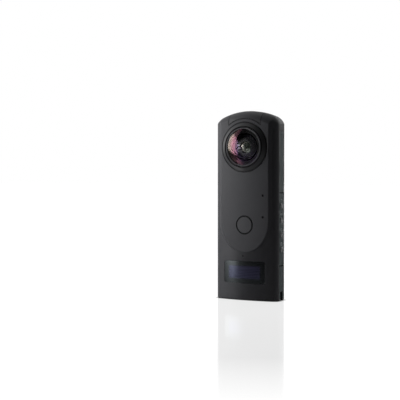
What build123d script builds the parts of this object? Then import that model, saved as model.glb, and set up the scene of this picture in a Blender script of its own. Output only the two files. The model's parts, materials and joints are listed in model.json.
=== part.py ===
from build123d import *
import os
from math import asin, atan2, cos, degrees, radians, sin, sqrt, tan

os.makedirs("parts", exist_ok=True)

# A slim, hand-held 360 degree camera with one fisheye lens on each face.
# X runs from the speaker side to the key side, the shutter and display face -Y, Z is up.
# The origin is the middle of the base, on the surface that the camera stands on.

# Overall size
body_width = 48.0
body_height = 132.5
depth_over_glass = 29.7
depth_over_rims = 24.0

# Front outline: one long arc over the top, run into the sides by two small arcs
top_arc_radius = 48.0
top_corner_radius = 8.6
corner_lead = 0.35
base_edge_radius = 0.9

# Rounding of the top towards both faces, stopped just before it would stand upright
top_edge_radius = 7.7
top_edge_depth = 10.0
top_edge_reach = 9.95
top_edge_steps = 4

# Cross-section: crowned faces that roll into narrow flat sides
crown_depth = 9.5
crown_radius = 110.0
side_roll_radius = 4.0

# Flat tongue that runs down both faces from the lens and ends in a round tip
tongue_half_width = 18.5
tongue_depth = 9.7
tongue_tip_share = 0.3156
tongue_root_drop = 3.2
tongue_edge_radius = 0.8
tongue_flank_angle = 45.0
tongue_tip_radius_share = 0.9
tongue_tip_rise_share = 1.165

# Casing walls and the general gaps between pieces
wall = 1.2
strip_thickness = 1.0
ledge_thickness = 0.8
seam_gap = 0.12
fit_gap = 0.1
moving_gap = 0.15
overrun = 5.0
soft_edge = 0.15

# Side strips; the joints of the key panel are shares of the lens height
strip_margin = 0.35
strip_top_drop = 14.6
key_panel_top_share = 0.704
key_panel_bottom_share = 0.2288
strip_bottom = 1.5
top_port_drop = 2.4
top_port_radius = 0.4

# Cover over the antenna, let into the top of both casings
cap_half_width = 12.5
cap_arc_radius = 19.8
cap_corner_radius = 0.8

# Plate let into the base
plate_side_gap = 3.7
plate_half_depth = 5.2
plate_corner_radius = 2.0
plate_flange = 1.1
plate_flange_thickness = 1.0

# Lens places and the stepped bezel round the glass
lens_drop = 25.4
bezel_radius = 17.2
bezel_foot_rise = 0.2
bezel_rim_radius = 14.05
bezel_rim_land = 0.3
bezel_flange_width = 0.6
bezel_flange_thickness = 0.8
bezel_step_depth = 1.6
lens_hole_gap = 0.2
lens_hole_chamfer = 0.35

# Retaining ring, barrel and glass
ring_radius = 13.5
ring_height = 0.8
ring_bevel = 0.25
glass_radius = 12.7
glass_front_radius = 26.0
glass_back_radius = 9.6
glass_middle = 1.5
bowl_radius = 9.0
barrel_back = 4.5
baffle_steps = 5
baffle_step_width = 0.7
baffle_step_rise = 0.3
inner_glass_radius = 5.4
inner_glass_front_radius = 8.0
inner_glass_back_radius = 5.5
inner_glass_apex = 9.4
inner_glass_back = 6.0
inner_glass_bowl = 4.0

# Folded light path behind each lens
prism_side = 7.0
mirror_gap = 0.1
relay_radius = 3.3
relay_crown = 0.5
sensor_centre_share = 0.5
sensor_side_gap = 2.6
sensor_depth = 12.6
sensor_thickness = 1.6
sensor_board_margin = 0.8
sensor_board_thickness = 0.8
optics_half_depth = 4.4
optics_side_gap = 1.4
optics_base_drop = 15.6
optics_top_inset = 4.0
optics_lug_height = 8.0

# Shutter button
shutter_share = 0.4921
shutter_radius = 5.87
shutter_groove = 0.36
shutter_flange_width = 1.1
shutter_flange_thickness = 0.6
shutter_stem_radius = 1.5
shutter_travel = 0.4
shutter_switch_size = 5.2
shutter_nub_radius = 1.2
shutter_nub_height = 0.6

# Side keys
key_radius = 2.0
key_first_share = 0.3315
key_pitch_share = 0.095
key_count = 4
key_proud = 0.2
key_flange_width = 0.45
key_flange_thickness = 0.5
key_stem_radius = 1.0
key_stem_length = 0.55
key_travel = 0.3
switch_size = 3.0
switch_thickness = 0.5
switch_nub_radius = 0.7
switch_nub_height = 0.15
key_board_thickness = 0.6
key_board_half_depth = 3.0
key_board_margin = 5.5

# Display, a little off the middle of the face
display_share = 0.1821
display_offset = -0.5
display_width = 32.0
display_tall_share = 0.1466
display_corner = 1.5
display_recess = 0.15
display_glass = 0.9
panel_width = 28.0
panel_margin = 1.55
panel_thickness = 1.2
panel_gap = 0.15
bracket_wall = 1.2

# Small openings in the faces
microphone_offset = 14.3
microphone_share = 0.6853
microphone_radius = 0.5
microphone_box = 3.0
microphone_thickness = 1.0
status_lamp_share = 0.5453
panel_lamp_share = 0.2885
panel_lamp_offset = -1.2
lamp_radius = 0.45
lamp_collar_width = 0.4
lamp_collar_thickness = 0.5
lamp_recess = 0.1

# Speaker
speaker_share = 0.6527
speaker_hole_radius = 0.45
speaker_ring_share = 0.74
speaker_ring_count = 6
speaker_width = 6.4
speaker_tall = 12.0
speaker_thickness = 3.0

# Boards, battery and chassis
board_front = 2.6
board_thickness = 0.8
board_side_gap = 3.5
board_bottom = 11.0
board_top_drop = 2.0
tab_width = 10.0
tab_bottom = 3.0
standoff_radius = 1.5
standoff_margin = 2.2
chassis_thickness = 1.0
chassis_side_gap = 3.0
chassis_bottom = 10.5
chassis_top_drop = 5.5
rail_half_depth = 2.6
key_bay_margin = 6.5
foot_port_gap = 1.96
foot_half_depth = 5.6
battery_side_gap = 2.7
battery_top_gap = 4.0
battery_bottom_share = 0.28
battery_thickness = 6.2
battery_corner = 1.5
chip_thickness = 1.0
processor_width_share = 0.5
processor_tall_share = 0.8
memory_width_share = 0.375
memory_tall_share = 0.6
radio_width = 13.0
radio_tall = 9.0
power_chip_size = 6.0
shield_width = 24.0
shield_tall_share = 0.48
shield_base_share = 0.425
shield_height = 1.5
shield_sheet = 0.2
spreader_thickness = 0.4
spreader_margin = 1.5
antenna_thickness = 0.3
antenna_half_width = 9.0
antenna_half_depth = 5.0

# Socket, port, strap bar and screws
socket_radius = 4.4
socket_height = 7.3
socket_thread_radius = 2.6
socket_thread_length = 5.5
port_width = 8.94
port_thickness = 3.2
port_wall = 0.3
port_height = 7.4
port_recess = 0.2
port_plate_margin = 0.6
port_tongue_width = 6.7
port_tongue_thickness = 0.7
strap_gap = 3.4
strap_opening_top = 6.5
strap_pocket_depth = 3.1
strap_wall = 1.0
strap_bar_radius = 0.7
strap_bar_height = 1.7
screw_first_height = 17.0
screw_middle_drop = 1.2
screw_last_drop = 5.9
screw_offset = 1.75
screw_head_radius = 1.1
screw_head_height = 0.45
screw_shank_radius = 0.65
screw_length = 2.6

# Heights worked out from the body's height, down from its top and up from its base
arc_centre = body_height - top_arc_radius
strip_top = body_height - strip_top_drop
top_port_height = strip_top - top_port_drop
lens_height = body_height - lens_drop
optics_base = lens_height - optics_base_drop
chassis_top = optics_base - chassis_top_drop
board_top = chassis_top - board_top_drop
key_panel_top = key_panel_top_share * lens_height
microphone_height = microphone_share * lens_height
speaker_height = speaker_share * lens_height
status_lamp_height = status_lamp_share * lens_height
shutter_height = shutter_share * lens_height
tongue_tip_height = tongue_tip_share * lens_height
panel_lamp_height = panel_lamp_share * lens_height
battery_bottom = battery_bottom_share * lens_height
key_panel_bottom = key_panel_bottom_share * lens_height
display_height = display_share * lens_height
display_tall = display_tall_share * lens_height
panel_tall = display_tall - 2 * panel_margin
key_first_height = key_first_share * lens_height
key_pitch = key_pitch_share * lens_height
key_heights = [key_first_height + index * key_pitch for index in range(key_count)]
screw_heights = (screw_first_height, chassis_top - screw_middle_drop, strip_top - screw_last_drop)
battery_tall = chassis_top - battery_top_gap - battery_bottom
shield_base = shutter_height + shield_base_share * (board_top - shutter_height)
shield_tall = shield_tall_share * (board_top - shutter_height)

# Widths and depths worked out from the sizes above
half_width = body_width / 2
cavity_side_inset = strip_thickness + ledge_thickness
channel_reach = half_width - strip_thickness
cavity_reach = half_width - cavity_side_inset
optics_half_width = cavity_reach - optics_side_gap
chassis_half_width = cavity_reach - chassis_side_gap
board_half_width = cavity_reach - board_side_gap
battery_width = 2 * (chassis_half_width - battery_side_gap)
standoff_offset = board_half_width - standoff_margin
plate_half_length = cavity_reach - plate_side_gap
tab_centre = port_width / 2 + port_plate_margin - plate_half_length
foot_half_width = -tab_centre - port_width / 2 - foot_port_gap
processor_width = processor_width_share * shield_width
processor_tall = processor_tall_share * shield_tall
memory_width = memory_width_share * shield_width
memory_tall = memory_tall_share * shield_tall
sensor_centre = sensor_centre_share * cavity_reach
sensor_width = 2 * (sensor_centre - sensor_side_gap)
fold_prism_start = sensor_centre - prism_side / 2
side_flat = sqrt((crown_radius - side_roll_radius) ** 2 - (half_width - side_roll_radius) ** 2)
side_flat = side_flat - (crown_radius - crown_depth)
strip_half_width = side_flat - strip_margin
speaker_ring_radius = speaker_ring_share * strip_half_width
glass_apex = depth_over_glass / 2
rim_depth = depth_over_rims / 2
cavity_face = tongue_depth - wall
board_back = board_front - board_thickness
strap_bar_reach = channel_reach - strap_bar_radius - fit_gap
key_names = ("function_button", "mode_button", "wireless_button", "power_button")
camera_sides = (("front", -1), ("rear", 1))


def sag(radius, reach):
    """How far a round surface of this radius falls away at a reach from its axis."""
    return radius - sqrt(radius ** 2 - reach ** 2)


def face_plane(facing, depth):
    """Upright plane across Y, seen from outside, at a depth from the mid-plane."""
    return Plane(origin=(0, facing * depth, 0), x_dir=(-facing, 0, 0), z_dir=(0, facing, 0))


def side_plane(side, reach):
    """Upright plane across X, seen from outside, at a reach from the middle."""
    return Plane(origin=(side * reach, 0, 0), x_dir=(0, side, 0), z_dir=(side, 0, 0))


def lens_plane(facing):
    """Level plane through a lens axis: x towards its sensor, y outwards along the axis."""
    return Plane(origin=(0, 0, lens_height), x_dir=(-facing, 0, 0), z_dir=(0, 0, -1))


def outline_face(depth, drop, side_inset, base):
    """The camera's front outline at a depth, with its top and its sides drawn in."""
    width = half_width + corner_lead - side_inset
    corner = top_corner_radius - side_inset
    arc = top_arc_radius - drop
    corner_x = width - corner
    corner_z = arc_centre + sqrt((arc - corner) ** 2 - corner_x ** 2)
    turn = degrees(atan2(corner_z - arc_centre, corner_x))
    with BuildSketch(Plane.XZ.offset(-depth)) as outline:
        with BuildLine():
            Line((-width, base), (width, base))
            Line((width, base), (width, corner_z))
            CenterArc((corner_x, corner_z), corner, 0, turn)
            CenterArc((0, arc_centre), arc, turn, 180 - 2 * turn)
            CenterArc((-corner_x, corner_z), corner, 180 - turn, turn)
            Line((-width, corner_z), (-width, base))
        make_face()
    return outline.sketch.face()


def section_face(inset, side_inset, base):
    """Level section of the body: two crowned faces, four rolled corners and two flats."""
    width = half_width - side_inset
    roll = side_roll_radius - inset
    arc = crown_radius - inset
    drop = crown_radius - crown_depth
    roll_x = width - roll
    roll_y = sqrt((arc - roll) ** 2 - roll_x ** 2) - drop
    turn = degrees(asin(roll_x / (arc - roll)))
    with BuildSketch(Plane.XY.offset(base)) as section:
        with BuildLine():
            CenterArc((0, drop), arc, 270 - turn, 2 * turn)
            CenterArc((roll_x, -roll_y), roll, 270 + turn, 90 - turn)
            Line((width, -roll_y), (width, roll_y))
            CenterArc((roll_x, roll_y), roll, 0, 90 - turn)
            CenterArc((0, -drop), arc, 90 - turn, 2 * turn)
            CenterArc((-roll_x, roll_y), roll, 90 + turn, 90 - turn)
            Line((-width, roll_y), (-width, -roll_y))
            CenterArc((-roll_x, -roll_y), roll, 180, 90 - turn)
        make_face()
    return section.sketch.face()


def tongue_face(facing, depth, spread):
    """Outline of the tongue at a depth, let out all round by spread."""
    width = tongue_half_width
    tip = width * tongue_tip_radius_share
    side_z = tongue_tip_height + width * tongue_tip_rise_share
    tip_z = tongue_tip_height + tip
    rise = side_z - tip_z
    side = (width ** 2 + rise ** 2 - tip ** 2) / (2 * (width - tip))
    turn = degrees(atan2(-rise, side - width))
    reach = width + spread
    crest = body_height + top_corner_radius
    with BuildSketch(face_plane(facing, depth)) as tongue:
        with BuildLine():
            CenterArc((0, tip_z), tip + spread, 180 - turn, 180 + 2 * turn)
            CenterArc((width - side, side_z), side + spread, turn, -turn)
            Line((reach, side_z), (reach, crest))
            Line((reach, crest), (-reach, crest))
            Line((-reach, crest), (-reach, side_z))
            CenterArc((side - width, side_z), side + spread, 180, -turn)
        make_face()
    return tongue.sketch.face()


def tongue_form(facing, inset):
    """One tongue, from its root inside the body out to its flat face."""
    depth = tongue_depth - inset
    spread = -inset * tan(radians((90 - tongue_flank_angle) / 2))
    root_spread = spread + tongue_root_drop * tan(radians(tongue_flank_angle))
    edge_radius = tongue_edge_radius - inset
    with BuildPart() as tongue:
        root = tongue_face(facing, depth - tongue_root_drop, root_spread)
        loft([root, tongue_face(facing, depth, spread)], ruled=True)
        if edge_radius > 0:
            front = tongue.faces().sort_by(Axis.Y)[-1 if facing > 0 else 0]
            fillet(front.edges(), radius=edge_radius)
    return tongue.part


def outline_form(inset, side_inset, base):
    """The front outline carried through the body, its top rounded towards both faces."""
    radius = top_edge_radius - inset
    start = top_edge_depth - top_edge_radius
    turn = asin((top_edge_reach - inset - start) / radius)
    steps = [turn * step / top_edge_steps for step in range(top_edge_steps + 1)]
    places = [(start + radius * sin(step), inset + radius * (1 - cos(step))) for step in steps]
    rear = [outline_face(depth, drop, side_inset, base) for depth, drop in places]
    front = [outline_face(-depth, drop, side_inset, base) for depth, drop in places]
    with BuildPart() as form:
        loft([front[0], rear[0]], ruled=True)
        loft(front)
        loft(rear)
    return form.part


def body_form(inset, side_inset, base_inset):
    """The body's solid shape with its two tongues, drawn in all round by the insets."""
    tongues = [tongue_form(facing, inset) for side_name, facing in camera_sides]
    bounds = outline_form(inset, side_inset, base_inset - overrun)
    with BuildPart() as form:
        extrude(section_face(inset, side_inset, base_inset), amount=body_height)
        add(tongues)
        add(bounds, mode=Mode.INTERSECT)
    return form.part


# Solid shape of the whole casing, rounded round its base, and the hollow inside it
plain_form = body_form(0, 0, 0)
cavity_form = body_form(wall, cavity_side_inset, wall)
with BuildPart() as outer_form:
    add(plain_form)
    fillet(outer_form.edges().group_by(Axis.Z)[0], radius=base_edge_radius)


def cap_outline(grow):
    """Outline of the antenna cover: two upright seams and an arc round the lens."""
    with BuildSketch(Plane.XZ) as outline:
        with Locations((0, lens_height)):
            Rectangle(
                2 * (cap_half_width + grow), body_height, align=(Align.CENTER, Align.MIN)
            )
            Circle(cap_arc_radius - grow, mode=Mode.SUBTRACT)
        corners = outline.vertices().filter_by(lambda corner: corner.Y < body_height)
        fillet(corners, radius=cap_corner_radius)
    return outline.sketch.face()


# Casing as one hollow body, before it is parted into a front and a rear half
with BuildPart() as casing:
    add(outer_form.part)
    add(cavity_form, mode=Mode.SUBTRACT)
    # Walls of the strap pocket in the lower corner of the key side
    pocket_reach = half_width - strap_pocket_depth
    with BuildSketch(Plane.XY.offset(wall)):
        with Locations((pocket_reach - strap_wall, 0)):
            Rectangle(
                cavity_reach - pocket_reach + strap_wall,
                2 * strip_half_width,
                align=(Align.MIN, Align.CENTER),
            )
    extrude(amount=strap_opening_top + strap_wall - wall)
    # Channels for the side strips
    for side in (-1, 1):
        with BuildSketch(side_plane(side, channel_reach)):
            with Locations((0, strip_bottom - seam_gap)):
                Rectangle(
                    2 * (strip_half_width + seam_gap),
                    strip_top - strip_bottom + 2 * seam_gap,
                    align=(Align.CENTER, Align.MIN),
                )
        extrude(amount=overrun, mode=Mode.SUBTRACT)
    # Seat of the antenna cover
    extrude(cap_outline(seam_gap), amount=crown_depth + overrun, both=True, mode=Mode.SUBTRACT)
    # Lens openings
    with BuildSketch(Plane.XZ):
        with Locations((0, lens_height)):
            Circle(bezel_radius + lens_hole_gap)
    extrude(amount=crown_depth + overrun, both=True, mode=Mode.SUBTRACT)
    flats = casing.faces().filter_by(Axis.Y).group_by(SortBy.AREA)[-1]
    rims = flats.edges().filter_by(GeomType.CIRCLE)
    chamfer(
        rims.filter_by(lambda rim: abs(rim.radius - bezel_radius - lens_hole_gap) < fit_gap),
        length=lens_hole_chamfer,
    )
    # Opening for the base plate
    with BuildSketch(Plane.XY.offset(-overrun)):
        RectangleRounded(
            2 * (plate_half_length + seam_gap),
            2 * (plate_half_depth + seam_gap),
            plate_corner_radius,
        )
    extrude(amount=overrun + wall, mode=Mode.SUBTRACT)
    # Key and speaker openings through the ledges behind the strips
    with BuildSketch(side_plane(1, cavity_reach - fit_gap)):
        with Locations(*[(0, height) for height in key_heights]):
            Circle(key_radius + key_flange_width + fit_gap)
    extrude(amount=ledge_thickness + fit_gap, mode=Mode.SUBTRACT)
    with BuildSketch(side_plane(-1, cavity_reach - fit_gap)):
        with Locations((0, speaker_height)):
            Circle(speaker_ring_radius + 2 * speaker_hole_radius)
    extrude(amount=ledge_thickness + fit_gap, mode=Mode.SUBTRACT)
    # Screw holes with sunk heads, in pairs either side of the joint of the casings
    for side in (-1, 1):
        for height in screw_heights:
            with BuildSketch(side_plane(side, cavity_reach - fit_gap)):
                with Locations((-screw_offset, height), (screw_offset, height)):
                    Circle(screw_shank_radius)
            extrude(amount=ledge_thickness + fit_gap, mode=Mode.SUBTRACT)
            with BuildSketch(side_plane(side, channel_reach - screw_head_height)):
                with Locations((-screw_offset, height), (screw_offset, height)):
                    Circle(screw_head_radius)
            extrude(amount=screw_head_height, mode=Mode.SUBTRACT)
    # Strap opening, open to the side and below, and the holes that hold its bar
    with BuildSketch(Plane.XY.offset(-overrun)):
        with Locations((pocket_reach, 0)):
            Rectangle(strap_pocket_depth + overrun, strap_gap, align=(Align.MIN, Align.CENTER))
    extrude(amount=overrun + strap_opening_top, mode=Mode.SUBTRACT)
    with BuildSketch(Plane.XZ):
        with Locations((strap_bar_reach, strap_bar_height)):
            Circle(strap_bar_radius)
    extrude(amount=strip_half_width - fit_gap, both=True, mode=Mode.SUBTRACT)

# Front casing: shutter hole, display window, lamp holes and one microphone hole
status_lamp_place = (microphone_offset, status_lamp_height)
panel_lamp_place = (panel_lamp_offset, panel_lamp_height)
with BuildPart() as front_shell:
    add(casing.part)
    split(bisect_by=face_plane(-1, 0), keep=Keep.TOP)
    with BuildSketch(face_plane(-1, 0)):
        with Locations((0, shutter_height)):
            Circle(shutter_radius + shutter_groove)
        with Locations((display_offset, display_height)):
            RectangleRounded(display_width, display_tall, display_corner)
        with Locations((microphone_offset, microphone_height)):
            Circle(microphone_radius)
        with Locations(status_lamp_place, panel_lamp_place):
            Circle(lamp_radius + fit_gap)
    extrude(amount=crown_depth + overrun, mode=Mode.SUBTRACT)
front_shell.part.label = "front_shell"
export_step(front_shell.part, "parts/front_shell.step")

# Rear casing: two microphone holes
with BuildPart() as rear_shell:
    add(casing.part)
    split(bisect_by=face_plane(1, 0), keep=Keep.TOP)
    with BuildSketch(face_plane(1, 0)):
        with Locations(
            (-microphone_offset, microphone_height), (microphone_offset, microphone_height)
        ):
            Circle(microphone_radius)
    extrude(amount=crown_depth + overrun, mode=Mode.SUBTRACT)
rear_shell.part.label = "rear_shell"
export_step(rear_shell.part, "parts/rear_shell.step")

# Plastic cover over the antenna, which follows the casing's outer shape
with BuildPart() as top_cap:
    add(outer_form.part)
    add(cavity_form, mode=Mode.SUBTRACT)
    extrude(cap_outline(0), amount=crown_depth + overrun, both=True, mode=Mode.INTERSECT)
top_cap.part.label = "top_cap"
export_step(top_cap.part, "parts/top_cap.step")

# Antenna sheet against the inside of the cover
antenna_shape = body_form(wall + antenna_thickness, cavity_side_inset, wall)
with BuildPart() as antenna:
    add(cavity_form)
    add(antenna_shape, mode=Mode.SUBTRACT)
    with BuildSketch(Plane.XY.offset(arc_centre + sqrt(top_arc_radius ** 2 - cap_half_width ** 2))):
        Rectangle(2 * antenna_half_width, 2 * antenna_half_depth)
    extrude(amount=-overrun, both=True, mode=Mode.INTERSECT)
antenna.part.label = "antenna"
export_step(antenna.part, "parts/antenna.step")


def strip_blank(side, bottom, top):
    """A flat side strip between two heights, with softened outer edges."""
    with BuildPart() as blank:
        with BuildSketch(side_plane(side, channel_reach)):
            with Locations((0, (bottom + top) / 2)):
                Rectangle(2 * strip_half_width, top - bottom)
        extrude(amount=strip_thickness)
        chamfer(blank.faces().sort_by(Axis.X)[-1 if side > 0 else 0].edges(), length=soft_edge)
    return blank.part


# Trim above the keys, with a small port near its top
with BuildPart() as upper_side_trim:
    add(strip_blank(1, key_panel_top + seam_gap / 2, strip_top))
    with BuildSketch(side_plane(1, half_width)):
        with Locations((0, top_port_height)):
            Circle(top_port_radius)
    extrude(amount=-strip_thickness, mode=Mode.SUBTRACT)
upper_side_trim.part.label = "upper_side_trim"
export_step(upper_side_trim.part, "parts/upper_side_trim.step")

# Key panel with four round holes
with BuildPart() as key_panel:
    add(strip_blank(1, key_panel_bottom + seam_gap / 2, key_panel_top - seam_gap / 2))
    with BuildSketch(side_plane(1, half_width)):
        with Locations(*[(0, height) for height in key_heights]):
            Circle(key_radius + moving_gap)
    extrude(amount=-strip_thickness, mode=Mode.SUBTRACT)
key_panel.part.label = "key_panel"
export_step(key_panel.part, "parts/key_panel.step")

# Trim below the keys, notched at its foot for the strap
with BuildPart() as lower_side_trim:
    add(strip_blank(1, strip_bottom, key_panel_bottom - seam_gap / 2))
    with BuildSketch(side_plane(1, half_width)):
        with Locations((0, strip_bottom)):
            Rectangle(strap_gap, 2 * (strap_opening_top - strip_bottom))
    extrude(amount=-strip_thickness, mode=Mode.SUBTRACT)
lower_side_trim.part.label = "lower_side_trim"
export_step(lower_side_trim.part, "parts/lower_side_trim.step")

# Long trim on the other side, with the flower of speaker holes
with BuildPart() as speaker_trim:
    add(strip_blank(-1, strip_bottom, strip_top))
    with BuildSketch(side_plane(-1, half_width)):
        with Locations((0, speaker_height)):
            Circle(speaker_hole_radius)
            with PolarLocations(speaker_ring_radius, speaker_ring_count, start_angle=90):
                Circle(speaker_hole_radius)
        with Locations((0, top_port_height)):
            Circle(top_port_radius)
    extrude(amount=-strip_thickness, mode=Mode.SUBTRACT)
speaker_trim.part.label = "speaker_trim"
export_step(speaker_trim.part, "parts/speaker_trim.step")

# Base plate: flush in the casing's floor, with a flange inside it
with BuildPart() as base_plate:
    with BuildSketch(Plane.XY):
        RectangleRounded(2 * plate_half_length, 2 * plate_half_depth, plate_corner_radius)
    extrude(amount=wall)
    with BuildSketch(Plane.XY.offset(wall)):
        RectangleRounded(
            2 * (plate_half_length + plate_flange),
            2 * (plate_half_depth + plate_flange),
            plate_corner_radius,
        )
    extrude(amount=plate_flange_thickness)
    with BuildSketch(Plane.XY):
        Circle(socket_radius)
        with Locations((tab_centre, port_thickness / 2 - board_back)):
            RectangleRounded(
                port_width + 2 * fit_gap,
                port_thickness + 2 * fit_gap,
                port_thickness / 2,
            )
    extrude(amount=wall + plate_flange_thickness, mode=Mode.SUBTRACT)
base_plate.part.label = "base_plate"
export_step(base_plate.part, "parts/base_plate.step")

# Both lens groups: the rear one is the front one turned half round about the Z axis
lens_axis = Axis((0, 0, lens_height), (0, 1, 0))
relay_axis = Axis((0, 0, lens_height), (1, 0, 0))
bowl_apex = glass_apex - glass_middle
glass_edge = glass_apex - sag(glass_front_radius, glass_radius)
glass_seat = bowl_apex - sag(glass_back_radius, bowl_radius)
second_edge = inner_glass_apex - sag(inner_glass_front_radius, inner_glass_radius)
hollow_apex = inner_glass_back + sag(inner_glass_back_radius, inner_glass_bowl)
relay_curve = (relay_radius ** 2 + relay_crown ** 2) / (2 * relay_crown)
for side_name, facing in camera_sides:
    # Conical bezel with a flange behind the casing wall and a step that holds the barrel
    with BuildPart() as lens_bezel:
        foot = tongue_depth + bezel_foot_rise
        flange_front = cavity_face - fit_gap
        back = flange_front - bezel_flange_thickness
        with BuildSketch(lens_plane(facing)):
            with BuildLine():
                Polyline(
                    (ring_radius, back),
                    (bezel_radius + bezel_flange_width, back),
                    (bezel_radius + bezel_flange_width, flange_front),
                    (bezel_radius, flange_front),
                    (bezel_radius, foot),
                    (bezel_rim_radius + bezel_rim_land, rim_depth),
                    (bezel_rim_radius, rim_depth),
                    (bezel_rim_radius, back + bezel_step_depth),
                    (ring_radius, back + bezel_step_depth),
                    close=True,
                )
            make_face()
        revolve(axis=lens_axis)
    lens_bezel.part.label = f"{side_name}_lens_bezel"
    export_step(lens_bezel.part, f"parts/{side_name}_lens_bezel.step")

    # Barrel: seat for the glass, black stepped baffle and bore for the second lens
    with BuildPart() as inner_barrel:
        steps = [(glass_radius, rim_depth - ring_height), (glass_radius, glass_seat)]
        steps.append((bowl_radius, glass_seat))
        step_depth = glass_seat - baffle_step_rise
        step_radius = bowl_radius
        for step in range(baffle_steps):
            steps.append((step_radius, step_depth))
            step_radius = step_radius - baffle_step_width
            steps.append((step_radius, step_depth))
            step_depth = step_depth + baffle_step_rise
        steps.append((inner_glass_radius, step_depth - baffle_step_rise))
        steps.append((inner_glass_radius, barrel_back))
        steps.append((ring_radius, barrel_back))
        steps.append((ring_radius, rim_depth - ring_height))
        with BuildSketch(lens_plane(facing)):
            with BuildLine():
                Polyline(*steps, close=True)
            make_face()
        revolve(axis=lens_axis)
    inner_barrel.part.label = f"{side_name}_inner_barrel"
    export_step(inner_barrel.part, f"parts/{side_name}_inner_barrel.step")

    # Bevelled ring that holds the glass in the barrel
    with BuildPart() as lens_ring:
        with BuildSketch(lens_plane(facing)):
            with BuildLine():
                Polyline(
                    (glass_radius, rim_depth - ring_height),
                    (ring_radius, rim_depth - ring_height),
                    (ring_radius, rim_depth - ring_bevel),
                    (ring_radius - ring_bevel, rim_depth),
                    (glass_radius + ring_bevel, rim_depth),
                    (glass_radius, rim_depth - ring_bevel),
                    close=True,
                )
            make_face()
        revolve(axis=lens_axis)
    lens_ring.part.label = f"{side_name}_lens_ring"
    export_step(lens_ring.part, f"parts/{side_name}_lens_ring.step")

    # Domed first lens: a meniscus with a deep bowl behind
    with BuildPart() as dome_lens:
        front_mid = glass_radius / 2
        back_mid = bowl_radius / 2
        with BuildSketch(lens_plane(facing)):
            with BuildLine():
                ThreePointArc(
                    (0, glass_apex),
                    (front_mid, glass_apex - sag(glass_front_radius, front_mid)),
                    (glass_radius, glass_edge),
                )
                Line((glass_radius, glass_edge), (glass_radius, glass_seat))
                Line((glass_radius, glass_seat), (bowl_radius, glass_seat))
                ThreePointArc(
                    (bowl_radius, glass_seat),
                    (back_mid, bowl_apex - sag(glass_back_radius, back_mid)),
                    (0, bowl_apex),
                )
                Line((0, bowl_apex), (0, glass_apex))
            make_face()
        revolve(axis=lens_axis)
    dome_lens.part.label = f"{side_name}_dome_lens"
    export_step(dome_lens.part, f"parts/{side_name}_dome_lens.step")

    # Second lens, in the barrel's bore
    with BuildPart() as second_lens:
        front_mid = inner_glass_radius / 2
        back_mid = inner_glass_bowl / 2
        with BuildSketch(lens_plane(facing)):
            with BuildLine():
                ThreePointArc(
                    (0, inner_glass_apex),
                    (front_mid, inner_glass_apex - sag(inner_glass_front_radius, front_mid)),
                    (inner_glass_radius, second_edge),
                )
                Line((inner_glass_radius, second_edge), (inner_glass_radius, inner_glass_back))
                Line((inner_glass_radius, inner_glass_back), (inner_glass_bowl, inner_glass_back))
                ThreePointArc(
                    (inner_glass_bowl, inner_glass_back),
                    (back_mid, hollow_apex - sag(inner_glass_back_radius, back_mid)),
                    (0, hollow_apex),
                )
                Line((0, hollow_apex), (0, inner_glass_apex))
            make_face()
        revolve(axis=lens_axis)
    second_lens.part.label = f"{side_name}_second_lens"
    export_step(second_lens.part, f"parts/{side_name}_second_lens.step")

    # Turning prism: light comes in along the lens axis and leaves sideways
    with BuildPart() as turning_prism:
        half = prism_side / 2
        with BuildSketch(lens_plane(facing).offset(-half)):
            with BuildLine():
                Polyline(
                    (-half + mirror_gap, half),
                    (half, half),
                    (half, -half + mirror_gap),
                    close=True,
                )
            make_face()
        extrude(amount=prism_side)
    turning_prism.part.label = f"{side_name}_turning_prism"
    export_step(turning_prism.part, f"parts/{side_name}_turning_prism.step")

    # Fold prism: sends the light down to the sensor
    with BuildPart() as fold_prism:
        with BuildSketch(face_plane(facing, -prism_side / 2)):
            with BuildLine():
                Polyline(
                    (fold_prism_start, lens_height + prism_side / 2),
                    (fold_prism_start, lens_height - prism_side / 2),
                    (fold_prism_start + prism_side, lens_height - prism_side / 2),
                    close=True,
                )
            make_face()
        extrude(amount=prism_side)
    fold_prism.part.label = f"{side_name}_fold_prism"
    export_step(fold_prism.part, f"parts/{side_name}_fold_prism.step")

    # Relay lens between the two prisms
    with BuildPart() as relay_lens:
        relay_start = prism_side / 2 + fit_gap
        relay_end = fold_prism_start - fit_gap
        relay_mid = relay_radius / 2
        with BuildSketch(lens_plane(facing)):
            with BuildLine():
                ThreePointArc(
                    (relay_start, 0),
                    (relay_start + sag(relay_curve, relay_mid), relay_mid),
                    (relay_start + relay_crown, relay_radius),
                )
                Line((relay_start + relay_crown, relay_radius), (relay_end - relay_crown, relay_radius))
                ThreePointArc(
                    (relay_end - relay_crown, relay_radius),
                    (relay_end - sag(relay_curve, relay_mid), relay_mid),
                    (relay_end, 0),
                )
                Line((relay_end, 0), (relay_start, 0))
            make_face()
        revolve(axis=relay_axis)
    relay_lens.part.label = f"{side_name}_relay_lens"
    export_step(relay_lens.part, f"parts/{side_name}_relay_lens.step")

    # Last lens group, upright above the sensor
    with BuildPart() as sensor_lens:
        sensor_lens_base = optics_base + sensor_thickness
        with BuildSketch(Plane.XY.offset(sensor_lens_base)):
            with Locations((-facing * sensor_centre, 0)):
                Circle(relay_radius)
        extrude(amount=lens_height - prism_side / 2 - fit_gap - sensor_lens_base)
    sensor_lens.part.label = f"{side_name}_sensor_lens"
    export_step(sensor_lens.part, f"parts/{side_name}_sensor_lens.step")

    # Image sensor, face up under its light path, and the board that carries it
    with BuildPart() as image_sensor:
        with BuildSketch(Plane.XY.offset(optics_base - sensor_thickness)):
            with Locations((-facing * sensor_centre, 0)):
                Rectangle(sensor_width, sensor_depth)
        extrude(amount=sensor_thickness)
    image_sensor.part.label = f"{side_name}_image_sensor"
    export_step(image_sensor.part, f"parts/{side_name}_image_sensor.step")

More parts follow.
